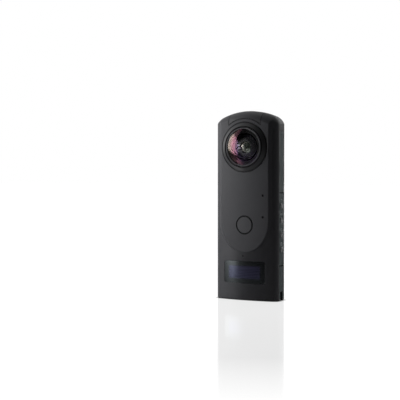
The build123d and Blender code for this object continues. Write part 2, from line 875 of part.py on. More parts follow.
# One board under both sensors
with BuildPart() as sensor_board:
    board_reach = sensor_centre + sensor_width / 2 + sensor_board_margin
    with BuildSketch(Plane.XY.offset(optics_base - sensor_thickness - sensor_board_thickness)):
        RectangleRounded(2 * board_reach, sensor_depth, sensor_board_margin)
    extrude(amount=sensor_board_thickness)
sensor_board.part.label = "sensor_board"
export_step(sensor_board.part, "parts/sensor_board.step")

# Optics block between the two lenses, with pockets for the prisms and lenses
with BuildPart() as optics_block:
    extrude(
        outline_face(
            0,
            wall + optics_top_inset,
            half_width + corner_lead - optics_half_width,
            optics_base,
        ),
        amount=optics_half_depth,
        both=True,
    )
    for side in (-1, 1):
        with BuildSketch(side_plane(side, optics_half_width - overrun)):
            with Locations((0, screw_heights[-1])):
                Rectangle(2 * rail_half_depth, optics_lug_height)
        extrude(amount=cavity_reach - optics_half_width + overrun)
    with BuildSketch(Plane.XZ):
        with Locations((0, lens_height)):
            Rectangle(prism_side, prism_side)
    extrude(amount=optics_half_depth, both=True, mode=Mode.SUBTRACT)
    for side_name, facing in camera_sides:
        with BuildSketch(face_plane(facing, -prism_side / 2)):
            with Locations((sensor_centre, lens_height)):
                Rectangle(prism_side, prism_side)
        extrude(amount=prism_side, mode=Mode.SUBTRACT)
        with BuildSketch(Plane.XY.offset(optics_base)):
            with Locations((-facing * sensor_centre, 0)):
                Circle(relay_radius)
        extrude(amount=lens_height - optics_base, mode=Mode.SUBTRACT)
    with BuildSketch(Plane.YZ.offset(-fold_prism_start)):
        with Locations((0, lens_height)):
            Circle(relay_radius)
    extrude(amount=2 * fold_prism_start, mode=Mode.SUBTRACT)
    for side in (-1, 1):
        with BuildSketch(side_plane(side, cavity_reach - screw_length)):
            with Locations((-screw_offset, screw_heights[-1]), (screw_offset, screw_heights[-1])):
                Circle(screw_shank_radius)
        extrude(amount=screw_length, mode=Mode.SUBTRACT)
optics_block.part.label = "optics_block"
export_step(optics_block.part, "parts/optics_block.step")

# Shutter button: a flat disc, a flange behind the wall and a stem over its switch
switch_top = board_front + shutter_switch_size / 2
stem_end = switch_top + shutter_nub_height + shutter_travel + moving_gap
with BuildPart() as shutter_button:
    with BuildSketch(face_plane(-1, tongue_depth)):
        with Locations((0, shutter_height)):
            Circle(shutter_radius)
    extrude(amount=-(tongue_depth - cavity_face + moving_gap))
    chamfer(shutter_button.faces().sort_by(Axis.Y)[0].edges(), length=soft_edge)
    with BuildSketch(face_plane(-1, cavity_face - moving_gap)):
        with Locations((0, shutter_height)):
            Circle(shutter_radius + shutter_flange_width)
    extrude(amount=-shutter_flange_thickness)
    with BuildSketch(face_plane(-1, cavity_face - moving_gap - shutter_flange_thickness)):
        with Locations((0, shutter_height)):
            Circle(shutter_stem_radius)
    extrude(amount=-(cavity_face - moving_gap - shutter_flange_thickness - stem_end))
shutter_button.part.label = "shutter_button"
export_step(shutter_button.part, "parts/shutter_button.step")

# Switch under the shutter button, on the front of the main board
with BuildPart() as shutter_switch:
    with BuildSketch(face_plane(-1, board_front)):
        with Locations((0, shutter_height)):
            Rectangle(shutter_switch_size, shutter_switch_size)
    extrude(amount=shutter_switch_size / 2)
    with BuildSketch(face_plane(-1, switch_top)):
        with Locations((0, shutter_height)):
            Circle(shutter_nub_radius)
    extrude(amount=shutter_nub_height)
shutter_switch.part.label = "shutter_switch"
export_step(shutter_switch.part, "parts/shutter_switch.step")

# Side keys, the panel's holes round them, each on its own switch
flange_reach = channel_reach - fit_gap
stem_reach = flange_reach - key_flange_thickness - key_stem_length
nub_reach = stem_reach - key_travel - moving_gap
board_reach = nub_reach - switch_nub_height - switch_thickness
for key_name, height in zip(key_names, key_heights):
    with BuildPart() as side_key:
        with BuildSketch(side_plane(1, flange_reach)):
            with Locations((0, height)):
                Circle(key_radius)
        extrude(amount=half_width + key_proud - flange_reach)
        fillet(side_key.faces().sort_by(Axis.X)[-1].edges(), radius=key_proud)
        with BuildSketch(side_plane(1, flange_reach)):
            with Locations((0, height)):
                Circle(key_radius + key_flange_width)
        extrude(amount=-key_flange_thickness)
        with BuildSketch(side_plane(1, flange_reach - key_flange_thickness)):
            with Locations((0, height)):
                Circle(key_stem_radius)
        extrude(amount=-key_stem_length)
    side_key.part.label = key_name
    export_step(side_key.part, f"parts/{key_name}.step")

# Small board behind the keys
with BuildPart() as side_key_board:
    with BuildSketch(side_plane(1, board_reach - key_board_thickness)):
        with Locations((0, (key_heights[0] + key_heights[-1]) / 2)):
            Rectangle(
                2 * key_board_half_depth,
                key_heights[-1] - key_heights[0] + 2 * key_board_margin,
            )
    extrude(amount=key_board_thickness)
side_key_board.part.label = "side_key_board"
export_step(side_key_board.part, "parts/side_key_board.step")

# Four push switches on that board
with BuildPart() as key_switches:
    with BuildSketch(side_plane(1, board_reach)):
        with Locations(*[(0, height) for height in key_heights]):
            Rectangle(switch_size, switch_size)
    extrude(amount=switch_thickness)
    with BuildSketch(side_plane(1, board_reach + switch_thickness)):
        with Locations(*[(0, height) for height in key_heights]):
            Circle(switch_nub_radius)
    extrude(amount=switch_nub_height)
key_switches.part.label = "key_switches"
export_step(key_switches.part, "parts/key_switches.step")

# Display window: a clear sheet that follows the crowned face, a little below it
window_front = body_form(display_recess, 0, 0)
window_back = body_form(display_recess + display_glass, 0, 0)
with BuildPart() as display_window:
    add(window_front)
    add(window_back, mode=Mode.SUBTRACT)
    with BuildSketch(face_plane(-1, 0)):
        with Locations((display_offset, display_height)):
            RectangleRounded(
                display_width - 2 * fit_gap, display_tall - 2 * fit_gap, display_corner
            )
    extrude(amount=crown_depth + overrun, mode=Mode.INTERSECT)
display_window.part.label = "display_window"
export_step(display_window.part, "parts/display_window.step")

# Display panel behind the window, on a frame that stands on the main board
crown_drop = crown_radius - sqrt(crown_radius ** 2 - (panel_width / 2) ** 2)
panel_front = crown_depth - crown_drop - display_recess - display_glass - panel_gap
with BuildPart() as display_module:
    with BuildSketch(face_plane(-1, panel_front)):
        with Locations((display_offset, display_height)):
            Rectangle(panel_width, panel_tall)
    extrude(amount=-panel_thickness)
display_module.part.label = "display_module"
export_step(display_module.part, "parts/display_module.step")

with BuildPart() as display_frame:
    with BuildSketch(face_plane(-1, board_front)):
        with Locations((display_offset, display_height)):
            Rectangle(panel_width, panel_tall)
            Rectangle(
                panel_width - 2 * bracket_wall, panel_tall - 2 * bracket_wall, mode=Mode.SUBTRACT
            )
    extrude(amount=panel_front - panel_thickness - board_front)
display_frame.part.label = "display_frame"
export_step(display_frame.part, "parts/display_frame.step")

# Light pipes of the two front lamps, from the face to the main board
with BuildPart() as light_pipes:
    for place, front in (
        (status_lamp_place, tongue_depth - lamp_recess),
        (panel_lamp_place, crown_depth - lamp_recess),
    ):
        with BuildSketch(face_plane(-1, board_front)):
            with Locations(place):
                Circle(lamp_radius)
        extrude(amount=front - board_front)
        with BuildSketch(face_plane(-1, front + lamp_recess - wall - fit_gap)):
            with Locations(place):
                Circle(lamp_radius + lamp_collar_width)
        extrude(amount=-lamp_collar_thickness)
light_pipes.part.label = "light_pipes"
export_step(light_pipes.part, "parts/light_pipes.step")

# Microphones on the inside of the faces, each with its sound hole
with BuildPart() as microphones:
    for facing, places in ((-1, (microphone_offset,)), (1, (-microphone_offset, microphone_offset))):
        with BuildSketch(face_plane(facing, cavity_face)):
            with Locations(*[(place, microphone_height) for place in places]):
                Rectangle(microphone_box, microphone_box)
        extrude(amount=-microphone_thickness)
        with BuildSketch(face_plane(facing, cavity_face)):
            with Locations(*[(place, microphone_height) for place in places]):
                Circle(microphone_radius)
        extrude(amount=-microphone_thickness / 2, mode=Mode.SUBTRACT)
microphones.part.label = "microphones"
export_step(microphones.part, "parts/microphones.step")

# Speaker behind the flower of holes
with BuildPart() as speaker:
    with BuildSketch(side_plane(-1, cavity_reach)):
        with Locations((0, speaker_height)):
            Rectangle(speaker_width, speaker_tall)
    extrude(amount=-speaker_thickness)
    fillet(speaker.edges().filter_by(Axis.X), radius=speaker_width / 4)
speaker.part.label = "speaker"
export_step(speaker.part, "parts/speaker.step")

# Main board with a tab at its foot for the port
with BuildPart() as main_board:
    with BuildSketch(face_plane(-1, board_back)):
        with Locations((0, (board_bottom + board_top) / 2)):
            Rectangle(2 * board_half_width, board_top - board_bottom)
        with Locations((tab_centre, (tab_bottom + board_bottom) / 2)):
            Rectangle(tab_width, board_bottom - tab_bottom + board_thickness)
    extrude(amount=board_thickness)
main_board.part.label = "main_board"
export_step(main_board.part, "parts/main_board.step")

# Chassis: a thin plate with side rails, standoffs for the board and a foot for the socket
rail_bays = (
    (1, key_heights[0] - key_bay_margin, key_heights[-1] + key_bay_margin, board_reach),
    (-1, speaker_height - speaker_tall / 2, speaker_height + speaker_tall / 2, chassis_half_width),
)
with BuildPart() as chassis:
    with BuildSketch(face_plane(-1, -chassis_thickness / 2)):
        with Locations((0, (chassis_bottom + chassis_top) / 2)):
            Rectangle(2 * chassis_half_width, chassis_top - chassis_bottom)
    extrude(amount=chassis_thickness)
    for side, bay_bottom, bay_top, bay_reach in rail_bays:
        with BuildSketch(side_plane(side, chassis_half_width)):
            with Locations((0, chassis_bottom)):
                Rectangle(
                    2 * rail_half_depth,
                    chassis_top - chassis_bottom,
                    align=(Align.CENTER, Align.MIN),
                )
        extrude(amount=cavity_reach - chassis_half_width)
        bay_floor = bay_reach - key_board_thickness if side > 0 else bay_reach
        with BuildSketch(side_plane(side, bay_floor)):
            with Locations((0, (bay_bottom + bay_top) / 2)):
                Rectangle(2 * side_flat, bay_top - bay_bottom)
        extrude(amount=overrun, mode=Mode.SUBTRACT)
        with BuildSketch(side_plane(side, cavity_reach - screw_length)):
            with Locations(
                *[
                    (offset, height)
                    for offset in (-screw_offset, screw_offset)
                    for height in screw_heights[:-1]
                ]
            ):
                Circle(screw_shank_radius)
        extrude(amount=screw_length, mode=Mode.SUBTRACT)
    with BuildSketch(face_plane(-1, chassis_thickness / 2)):
        with Locations(
            *[
                (offset, height)
                for offset in (-standoff_offset, standoff_offset)
                for height in (board_bottom + standoff_radius, board_top - standoff_radius)
            ]
        ):
            Circle(standoff_radius)
    extrude(amount=board_back - chassis_thickness / 2)
    with BuildSketch(Plane.XY.offset(wall + plate_flange_thickness)):
        Rectangle(2 * foot_half_width, 2 * foot_half_depth)
    extrude(amount=chassis_bottom - wall - plate_flange_thickness)
    with BuildSketch(Plane.XY):
        Circle(socket_radius)
    extrude(amount=socket_height, mode=Mode.SUBTRACT)
chassis.part.label = "chassis"
export_step(chassis.part, "parts/chassis.step")

# Battery on the rear of the chassis
with BuildPart() as battery:
    with BuildSketch(face_plane(1, chassis_thickness / 2)):
        with Locations((0, battery_bottom + battery_tall / 2)):
            RectangleRounded(battery_width, battery_tall, battery_corner)
    extrude(amount=battery_thickness)
battery.part.label = "battery"
export_step(battery.part, "parts/battery.step")

# Chips on the front of the main board
shield_middle = shield_base + shield_tall / 2
with BuildPart() as processor_chips:
    with BuildSketch(face_plane(-1, board_front)):
        with Locations((processor_width / 2 - shield_width / 2 + spreader_margin, shield_middle)):
            Rectangle(processor_width, processor_tall)
        with Locations((shield_width / 2 - memory_width / 2 - spreader_margin / 2, shield_middle)):
            Rectangle(memory_width, memory_tall)
    extrude(amount=chip_thickness)
processor_chips.part.label = "processor_chips"
export_step(processor_chips.part, "parts/processor_chips.step")

with BuildPart() as power_chip:
    with BuildSketch(face_plane(-1, board_front)):
        with Locations((board_half_width / 2, (display_height + shutter_height) / 2)):
            Rectangle(power_chip_size, power_chip_size)
    extrude(amount=chip_thickness)
power_chip.part.label = "power_chip"
export_step(power_chip.part, "parts/power_chip.step")

with BuildPart() as radio_module:
    with BuildSketch(face_plane(-1, board_front)):
        with Locations((-board_half_width / 2, (display_height + shutter_height) / 2)):
            Rectangle(radio_width, radio_tall)
    extrude(amount=chip_thickness + shield_sheet)
radio_module.part.label = "radio_module"
export_step(radio_module.part, "parts/radio_module.step")

# Sheet-metal can over the processor, and the copper sheet that spreads its heat
with BuildPart() as shield_can:
    with BuildSketch(face_plane(-1, board_front)):
        with Locations((0, shield_middle)):
            Rectangle(shield_width, shield_tall)
    extrude(amount=shield_height)
    with BuildSketch(face_plane(-1, board_front)):
        with Locations((0, shield_middle)):
            Rectangle(shield_width - 2 * shield_sheet, shield_tall - 2 * shield_sheet)
    extrude(amount=shield_height - shield_sheet, mode=Mode.SUBTRACT)
shield_can.part.label = "shield_can"
export_step(shield_can.part, "parts/shield_can.step")

with BuildPart() as heat_spreader:
    with BuildSketch(face_plane(-1, board_front + shield_height)):
        with Locations((0, shield_middle)):
            Rectangle(shield_width + 2 * spreader_margin, shield_tall + 2 * spreader_margin)
    extrude(amount=spreader_thickness)
heat_spreader.part.label = "heat_spreader"
export_step(heat_spreader.part, "parts/heat_spreader.step")

# Socket for a tripod screw, pressed into the chassis foot and flush with the base
with BuildPart() as tripod_socket:
    with BuildSketch(Plane.XY):
        Circle(socket_radius)
    extrude(amount=socket_height)
    with BuildSketch(Plane.XY):
        Circle(socket_thread_radius)
    extrude(amount=socket_thread_length, mode=Mode.SUBTRACT)
    chamfer(
        tripod_socket.faces().sort_by(Axis.Z)[0].edges().sort_by(SortBy.LENGTH)[0],
        length=soft_edge,
    )
tripod_socket.part.label = "tripod_socket"
export_step(tripod_socket.part, "parts/tripod_socket.step")

# Port: a drawn metal shell with its contact tongue, on the rear of the board's tab
port_middle = port_thickness / 2 - board_back
with BuildPart() as usb_c_port:
    with BuildSketch(Plane.XY.offset(port_recess)):
        with Locations((tab_centre, port_middle)):
            RectangleRounded(port_width, port_thickness, port_thickness / 2 - port_wall / 2)
            RectangleRounded(
                port_width - 2 * port_wall,
                port_thickness - 2 * port_wall,
                port_thickness / 2 - port_wall - port_wall / 2,
                mode=Mode.SUBTRACT,
            )
    extrude(amount=port_height)
    with BuildSketch(Plane.XY.offset(port_recess + port_height)):
        with Locations((tab_centre, port_middle)):
            RectangleRounded(port_width, port_thickness, port_thickness / 2 - port_wall / 2)
    extrude(amount=-port_wall)
    with BuildSketch(Plane.XY.offset(port_recess + port_thickness / 4)):
        with Locations((tab_centre, port_middle)):
            Rectangle(port_tongue_width, port_tongue_thickness)
    extrude(amount=port_height - port_thickness / 4)
usb_c_port.part.label = "usb_c_port"
export_step(usb_c_port.part, "parts/usb_c_port.step")

# Steel bar across the strap opening
with BuildPart() as strap_bar:
    with BuildSketch(Plane.XZ):
        with Locations((strap_bar_reach, strap_bar_height)):
            Circle(strap_bar_radius)
    extrude(amount=strip_half_width - fit_gap, both=True)
strap_bar.part.label = "strap_bar"
export_step(strap_bar.part, "parts/strap_bar.step")

# Twelve small screws that hold the casings to the chassis and the optics block
with BuildPart() as casing_screws:
    screw_places = [
        (offset, height) for offset in (-screw_offset, screw_offset) for height in screw_heights
    ]
    for side in (-1, 1):
        with BuildSketch(side_plane(side, channel_reach - screw_head_height)):
            with Locations(*screw_places):
                Circle(screw_head_radius)
        extrude(amount=screw_head_height)
        with BuildSketch(side_plane(side, cavity_reach - screw_length)):
            with Locations(*screw_places):
                Circle(screw_shank_radius)
        extrude(amount=screw_length + ledge_thickness - screw_head_height)
casing_screws.part.label = "casing_screws"
export_step(casing_screws.part, "parts/casing_screws.step")
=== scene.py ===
import json
import logging
import math
from dataclasses import dataclass, field
from enum import Enum
from typing import Any

import bmesh
import bpy
from bpy.types import Light, Material, Node, NodeSocket, NodeTree, Object
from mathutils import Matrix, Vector

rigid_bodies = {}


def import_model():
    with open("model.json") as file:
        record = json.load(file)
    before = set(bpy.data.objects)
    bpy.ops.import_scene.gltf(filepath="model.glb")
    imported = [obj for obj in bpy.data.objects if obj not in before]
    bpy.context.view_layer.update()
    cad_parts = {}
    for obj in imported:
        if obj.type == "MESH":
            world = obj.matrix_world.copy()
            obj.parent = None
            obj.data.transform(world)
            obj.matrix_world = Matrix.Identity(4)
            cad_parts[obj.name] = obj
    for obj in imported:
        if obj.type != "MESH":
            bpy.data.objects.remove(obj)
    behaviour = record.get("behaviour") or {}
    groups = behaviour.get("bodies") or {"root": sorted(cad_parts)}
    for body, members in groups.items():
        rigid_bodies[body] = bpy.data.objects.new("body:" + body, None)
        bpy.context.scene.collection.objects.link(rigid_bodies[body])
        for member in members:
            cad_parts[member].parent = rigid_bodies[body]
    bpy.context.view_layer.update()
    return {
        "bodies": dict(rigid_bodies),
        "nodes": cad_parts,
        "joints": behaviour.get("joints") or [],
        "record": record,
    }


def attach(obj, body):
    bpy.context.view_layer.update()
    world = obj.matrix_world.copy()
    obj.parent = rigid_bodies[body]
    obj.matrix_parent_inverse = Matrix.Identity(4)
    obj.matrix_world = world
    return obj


log = logging.getLogger("camera_scene")
MM = 0.001
# Width and height of the photograph in pixels, in which the camera's focal length is counted
IMAGE_SIDE = 400
WHITE = "#ffffff"
# Sockets of a Mix node of colours: the two colours that it takes and the one that it gives
FIRST, SECOND, MIXED = 6, 7, 2
# Painted shade of a gap: what is left of a face's colour, and of its gloss's tint, beside it
SEAM_PAINTED_SHADE = "#040404"
LENS_HEIGHT_MM = 107.1
CAP_HALF_MM = 12.5
HOLE_SIDE_MM = 14.3
MICROPHONE_HEIGHT_MM = 73.4
# Depth of the flat tongue, and how far below it the casting's lean begins and is whole
TONGUE_MM = 9.7
TONGUE_EDGE_MM = (0.05, 0.2)
# The lean grows between these two places across the face, from this share of it the other way
FALL_START_MM = -17.0
FALL_END_MM = 4.0
FALL_BACK_SHARE = 0.3
# It is gone at this height, and whole this far below it
FALL_TOP_MM = 124.0
FALL_FADE_MM = 10.0
BEVEL_SAMPLES = 6
RELIEF_STRENGTH = 0.6
# The texture's scale along a brushed scratch, which draws it 25 times as long as it is wide
BRUSHED_SCALE = 0.04


def linear(code: str) -> tuple[float, float, float, float]:
    """Turns an sRGB hex colour into the linear colour that a shader takes.

    Args:
        code: The colour as "#rrggbb".

    Returns:
        The linear red, green and blue, with an alpha of one.
    """
    parts = [int(code[place:place + 2], 16) / 255 for place in (1, 3, 5)]
    made = [part / 12.92 if part <= 0.04045 else ((part + 0.055) / 1.055) ** 2.4 for part in parts]
    return (made[0], made[1], made[2], 1.0)


def per_mm(size_mm: float) -> float:
    """Texture scale, per metre of object space, for a feature of this size in millimetres."""
    return 1.0 / (size_mm * MM)


def add_node(tree: NodeTree, kind: str, sockets: dict[Any, Any], **settings: Any) -> Node:
    """Adds one shader node with its settings, its socket values and its links.

    Args:
        tree: The node tree that gets the node.
        kind: The node's Blender type.
        sockets: Input name or number to a value, or to what is linked to it: an output socket, or a
            node for its first output.
        settings: The node's own properties.

    Returns:
        The new node.
    """
    node = tree.nodes.new(kind)
    for name, value in settings.items():
        setattr(node, name, value)
    for key, value in sockets.items():
        if isinstance(value, Node):
            tree.links.new(value.outputs[0], node.inputs[key])
        elif isinstance(value, NodeSocket):
            tree.links.new(value, node.inputs[key])
        else:
            node.inputs[key].default_value = value
    return node


def blank_material(name: str) -> tuple[Material, NodeTree, NodeSocket]:
    """Makes a material whose node tree has nothing but the object coordinates.

    Args:
        name: The material's name.

    Returns:
        The material, its tree and the socket with the coordinates, in metres.
    """
    material = bpy.data.materials.new(name)
    material.use_nodes = True
    tree = material.node_tree
    tree.nodes.clear()
    return material, tree, add_node(tree, "ShaderNodeTexCoord", {}).outputs["Object"]


def reach_from(tree: NodeTree, place: NodeSocket, x_mm: float, z_mm: float,
               counted: tuple[float, float, float] = (1.0, 0.0, 1.0)) -> NodeSocket:
    """Distance from a line that runs through the camera from face to face.

    Args:
        tree: The node tree.
        place: Object coordinates, in metres.
        x_mm: The line's place across the face.
        z_mm: Its height.
        counted: One for each direction that the distance counts, nought for the others.

    Returns:
        The socket with the distance, in metres.
    """
    flat = add_node(tree, "ShaderNodeVectorMath", {0: place, 1: counted}, operation="MULTIPLY")
    line = (x_mm * MM, 0.0, z_mm * MM)
    reach = add_node(tree, "ShaderNodeVectorMath", {0: flat, 1: line}, operation="DISTANCE")
    return reach.outputs["Value"]


def waves(tree: NodeTree, reach: NodeSocket, size_mm: float, top: float = 1.0, trough: float = 0.0,
          crest: float = 1.0) -> NodeSocket:
    """Even waves along a distance, such as the rings that a lathe leaves.

    Args:
        tree: The node tree.
        reach: The distance, in metres.
        size_mm: The waves' length.
        top: Where their crests are cut off flat, from one for nowhere down to minus one.
        trough: What they give at the bottom.
        crest: What they give at the top.

    Returns:
        The socket with the waves.
    """
    turns = add_node(
        tree, "ShaderNodeMath", {0: reach, 1: 2 * math.pi * per_mm(size_mm)}, operation="MULTIPLY"
    )
    wave = add_node(tree, "ShaderNodeMath", {0: turns}, operation="SINE")
    return add_node(
        tree, "ShaderNodeMapRange",
        {"Value": wave, "From Min": -1.0, "From Max": top, "To Min": trough, "To Max": crest},
    ).outputs[0]


class Pattern(Enum):
    """How a surface was made, which sets the pattern of its fine relief."""

    GRAIN = "fine grain of a coating or a moulding"
    TURNED = "rings left by turning on a lathe about the lens axis"
    BRUSHED = "long scratches left by rolling or brushing"
    POLISHED = "no relief that the eye can find"


class SeamForm(Enum):
    """The forms of the thin gaps between pieces, each by the directions that its distance counts."""

    RING = (1.0, 0.0, 1.0)
    UPRIGHT = (1.0, 0.0, 0.0)
    LEVEL = (0.0, 0.0, 1.0)


@dataclass(frozen=True)
class Seam:
    """A thin gap or small hole, drawn darker than the face round it by painted shade that reaches wider
    than the gap.

    Its line runs at reach_mm from the point x_mm, z_mm, fades out half_mm beside it, and is at its depth
    within full_share of that. Where they are set, from_mm is the height at which it starts, aside_mm how
    far it goes from the middle, and facing the one face that has it.
    """

    form: SeamForm
    x_mm: float = 0.0
    z_mm: float = 0.0
    reach_mm: float = 0.0
    half_mm: float = 0.5
    full_share: float = 0.5
    depth: float = 0.75
    facing: int = 0
    from_mm: float = 0.0
    aside_mm: float = 0.0

    def ends(self, tree: NodeTree, place: NodeSocket) -> list[tuple[NodeSocket, str, float]]:
        """The bounds past which the seam isn't drawn.

        Args:
            tree: The material's node tree.
            place: Object coordinates, in metres.

        Returns:
            A coordinate, how it compares with the bound on the outside, and the bound in metres.
        """
        parted = add_node(tree, "ShaderNodeSeparateXYZ", {0: place})
        bounds = []
        if self.from_mm:
            bounds.append((parted.outputs["Z"], "LESS_THAN", self.from_mm * MM))
        if self.aside_mm:
            aside = add_node(tree, "ShaderNodeMath", {0: parted.outputs["X"]}, operation="ABSOLUTE")
            bounds.append((aside.outputs[0], "GREATER_THAN", self.aside_mm * MM))
        if self.facing:
            bounds.append((parted.outputs["Y"], "GREATER_THAN" if self.facing < 0 else "LESS_THAN", 0.0))
        return bounds

    def shade(self, tree: NodeTree, place: NodeSocket) -> NodeSocket:
        """How much the seam's painted shade darkens the face.

        Args:
            tree: The material's node tree.
            place: Object coordinates, in metres.

        Returns:
            The socket with that share, from nought to the seam's depth.
        """
        reach = reach_from(tree, place, self.x_mm, self.z_mm, self.form.value)
        past = add_node(tree, "ShaderNodeMath", {0: reach, 1: self.reach_mm * MM}, operation="SUBTRACT")
        off = add_node(tree, "ShaderNodeMath", {0: past}, operation="ABSOLUTE")
        for coordinate, outside, bound in self.ends(tree, place):
            beyond = add_node(tree, "ShaderNodeMath", {0: coordinate, 1: bound}, operation=outside)
            off = add_node(tree, "ShaderNodeMath", {0: off, 1: beyond}, operation="ADD")
        return add_node(
            tree, "ShaderNodeMapRange",
            {
                "Value": off, "From Min": self.half_mm * MM,
                "From Max": self.full_share * self.half_mm * MM, "To Max": self.depth,
            },
            interpolation_type="SMOOTHSTEP",
        ).outputs[0]


@dataclass(frozen=True)
class Finish:
    """One finish: what the surface is made of, and the marks that its making left.

    Its roughness varies by spread either way. Its edges are rounded over soften_mm, its face is crowned
    to the radius crown_mm, and fall is how far the casting leans over below its tongue.
    """

    name: str
    colour: str
    tint: str
    roughness: float
    spread: float = 0.06
    metallic: float = 0.0
    specular: float = 0.5
    pattern: Pattern = Pattern.GRAIN
    grain_mm: float = 0.25
    relief_mm: float = 0.01
    mottle_mm: float = 9.0
    soften_mm: float = 0.0
    crown_mm: float = 0.0
    fall: float = 0.0
    seams: tuple[Seam, ...] = ()

    def softened(self, tree: NodeTree) -> NodeSocket:
        """The face's normal, rounded over soften_mm at its edges where the finish has that.

        Args:
            tree: The material's node tree.

        Returns:
            The socket that gives the normal.
        """
        if self.soften_mm:
            radius = {"Radius": self.soften_mm * MM}
            return add_node(tree, "ShaderNodeBevel", radius, samples=BEVEL_SAMPLES).outputs[0]
        return add_node(tree, "ShaderNodeNewGeometry", {}).outputs["Normal"]

    def crown(self, tree: NodeTree, place: NodeSocket) -> NodeSocket:
        """Normal of a face that is slightly crowned across its width.

        Every face leans outwards by its distance from the middle. Below the flat tongue and up to the
        cap, the casting falls away more on the side that lies to the right as one looks at it.

        Args:
            tree: The material's node tree.
            place: Object coordinates, in metres.

        Returns:
            The socket that gives the normal.
        """
        parted = add_node(tree, "ShaderNodeSeparateXYZ", {0: place})
        across, deep = parted.outputs["X"], parted.outputs["Y"]
        even = add_node(
            tree, "ShaderNodeMath", {0: across, 1: per_mm(self.crown_mm)}, operation="MULTIPLY"
        )
        side = add_node(tree, "ShaderNodeMath", {0: deep}, operation="SIGN")
        facing = add_node(tree, "ShaderNodeMath", {0: side, 1: -1.0}, operation="MULTIPLY")
        right = add_node(tree, "ShaderNodeMath", {0: across, 1: facing}, operation="MULTIPLY")
        ramp = add_node(
            tree, "ShaderNodeMapRange",
            {
                "Value": right, "From Min": FALL_START_MM * MM, "From Max": FALL_END_MM * MM,
                "To Min": -FALL_BACK_SHARE * self.fall, "To Max": self.fall,
            },
            interpolation_type="SMOOTHSTEP",
        )
        height = add_node(tree, "ShaderNodeMath", {0: deep}, operation="ABSOLUTE")
        below = add_node(
            tree, "ShaderNodeMapRange",
            {
                "Value": height, "From Min": (TONGUE_MM - TONGUE_EDGE_MM[0]) * MM,
                "From Max": (TONGUE_MM - TONGUE_EDGE_MM[1]) * MM,
            },
        )
        body = add_node(
            tree, "ShaderNodeMapRange",
            {
                "Value": parted.outputs["Z"], "From Min": FALL_TOP_MM * MM,
                "From Max": (FALL_TOP_MM - FALL_FADE_MM) * MM,
            },
            interpolation_type="SMOOTHSTEP",
        )
        span = add_node(tree, "ShaderNodeMath", {0: below, 1: body}, operation="MULTIPLY")
        casting = add_node(tree, "ShaderNodeMath", {0: ramp, 1: span}, operation="MULTIPLY")
        turned = add_node(tree, "ShaderNodeMath", {0: casting, 1: facing}, operation="MULTIPLY")
        lean = add_node(tree, "ShaderNodeMath", {0: even, 1: turned}, operation="ADD")
        shift = add_node(tree, "ShaderNodeCombineXYZ", {"X": lean})
        leaned = add_node(
            tree, "ShaderNodeVectorMath", {0: self.softened(tree), 1: shift}, operation="ADD"
        )
        return add_node(tree, "ShaderNodeVectorMath", {0: leaned}, operation="NORMALIZE").outputs[0]

    def relief(self, tree: NodeTree, place: NodeSocket) -> NodeSocket:
        """Height of the finish's fine relief, from 0 to 1.

        Args:
            tree: The material's node tree.
            place: Object coordinates, in metres.

        Returns:
            The socket that gives the height.
        """
        if self.pattern is Pattern.TURNED:
            return waves(tree, reach_from(tree, place, 0.0, LENS_HEIGHT_MM), self.grain_mm)
        stretch = (1.0, 1.0, BRUSHED_SCALE) if self.pattern is Pattern.BRUSHED else (1.0, 1.0, 1.0)
        drawn = add_node(tree, "ShaderNodeMapping", {"Vector": place, "Scale": stretch})
        return add_node(
            tree, "ShaderNodeTexNoise",
            {"Vector": drawn, "Scale": per_mm(self.grain_mm), "Detail": 3.0, "Roughness": 0.6},
        ).outputs[0]

    def material(self) -> Material:
        """Builds the material: mottled colour and roughness, painted shade along its seams, and the fine
        relief.

        Returns:
            The material.
        """
        material, tree, place = blank_material(self.name)
        height = self.relief(tree, place)
        # On a turned finish the colour follows the rings, its tint on their crests; on the ridged barrel
        # that is painted highlight and painted shade of the ridges
        if self.pattern is Pattern.TURNED:
            blend = height
        else:
            blend = add_node(
                tree, "ShaderNodeTexNoise",
                {"Vector": place, "Scale": per_mm(self.mottle_mm), "Detail": 4.0},
            ).outputs[0]
        tone = add_node(
            tree, "ShaderNodeMix",
            {0: blend, FIRST: linear(self.colour), SECOND: linear(self.tint)}, data_type="RGBA",
        )
        rough = add_node(
            tree, "ShaderNodeMapRange",
            {
                "Value": height, "To Min": max(self.roughness - self.spread, 0.0),
                "To Max": self.roughness + self.spread,
            },
        )
        colour = tone.outputs[MIXED]
        # Where the finish has seams, their painted shade darkens both the colour and the tint of the gloss
        mirrored: NodeSocket | None = None
        if self.seams:
            seam_painted_shade = self.seams[0].shade(tree, place)
            for seam in self.seams[1:]:
                seam_painted_shade = add_node(
                    tree, "ShaderNodeMath", {0: seam_painted_shade, 1: seam.shade(tree, place)}, operation="MAXIMUM"
                ).outputs[0]
            colour, mirrored = [
                add_node(
                    tree, "ShaderNodeMix",
                    {0: seam_painted_shade, FIRST: clean, SECOND: linear(SEAM_PAINTED_SHADE)}, data_type="RGBA",
                ).outputs[MIXED]
                for clean in (colour, linear(WHITE))
            ]
        sockets: dict[Any, Any] = {"Base Color": colour, "Roughness": rough, "Metallic": self.metallic}
        if self.metallic < 1.0:
            sockets["Specular IOR Level"] = self.specular
        if mirrored is not None:
            sockets["Specular Tint"] = mirrored
        if self.pattern is not Pattern.POLISHED:
            bump: dict[Any, Any] = {
                "Height": height, "Strength": RELIEF_STRENGTH, "Distance": self.relief_mm * MM,
            }
            if self.crown_mm:
                bump["Normal"] = self.crown(tree, place)
            elif self.soften_mm:
                bump["Normal"] = self.softened(tree)
            sockets["Normal"] = add_node(tree, "ShaderNodeBump", bump)
        shader = add_node(tree, "ShaderNodeBsdfPrincipled", sockets)
        add_node(tree, "ShaderNodeOutputMaterial", {"Surface": shader})
        return material


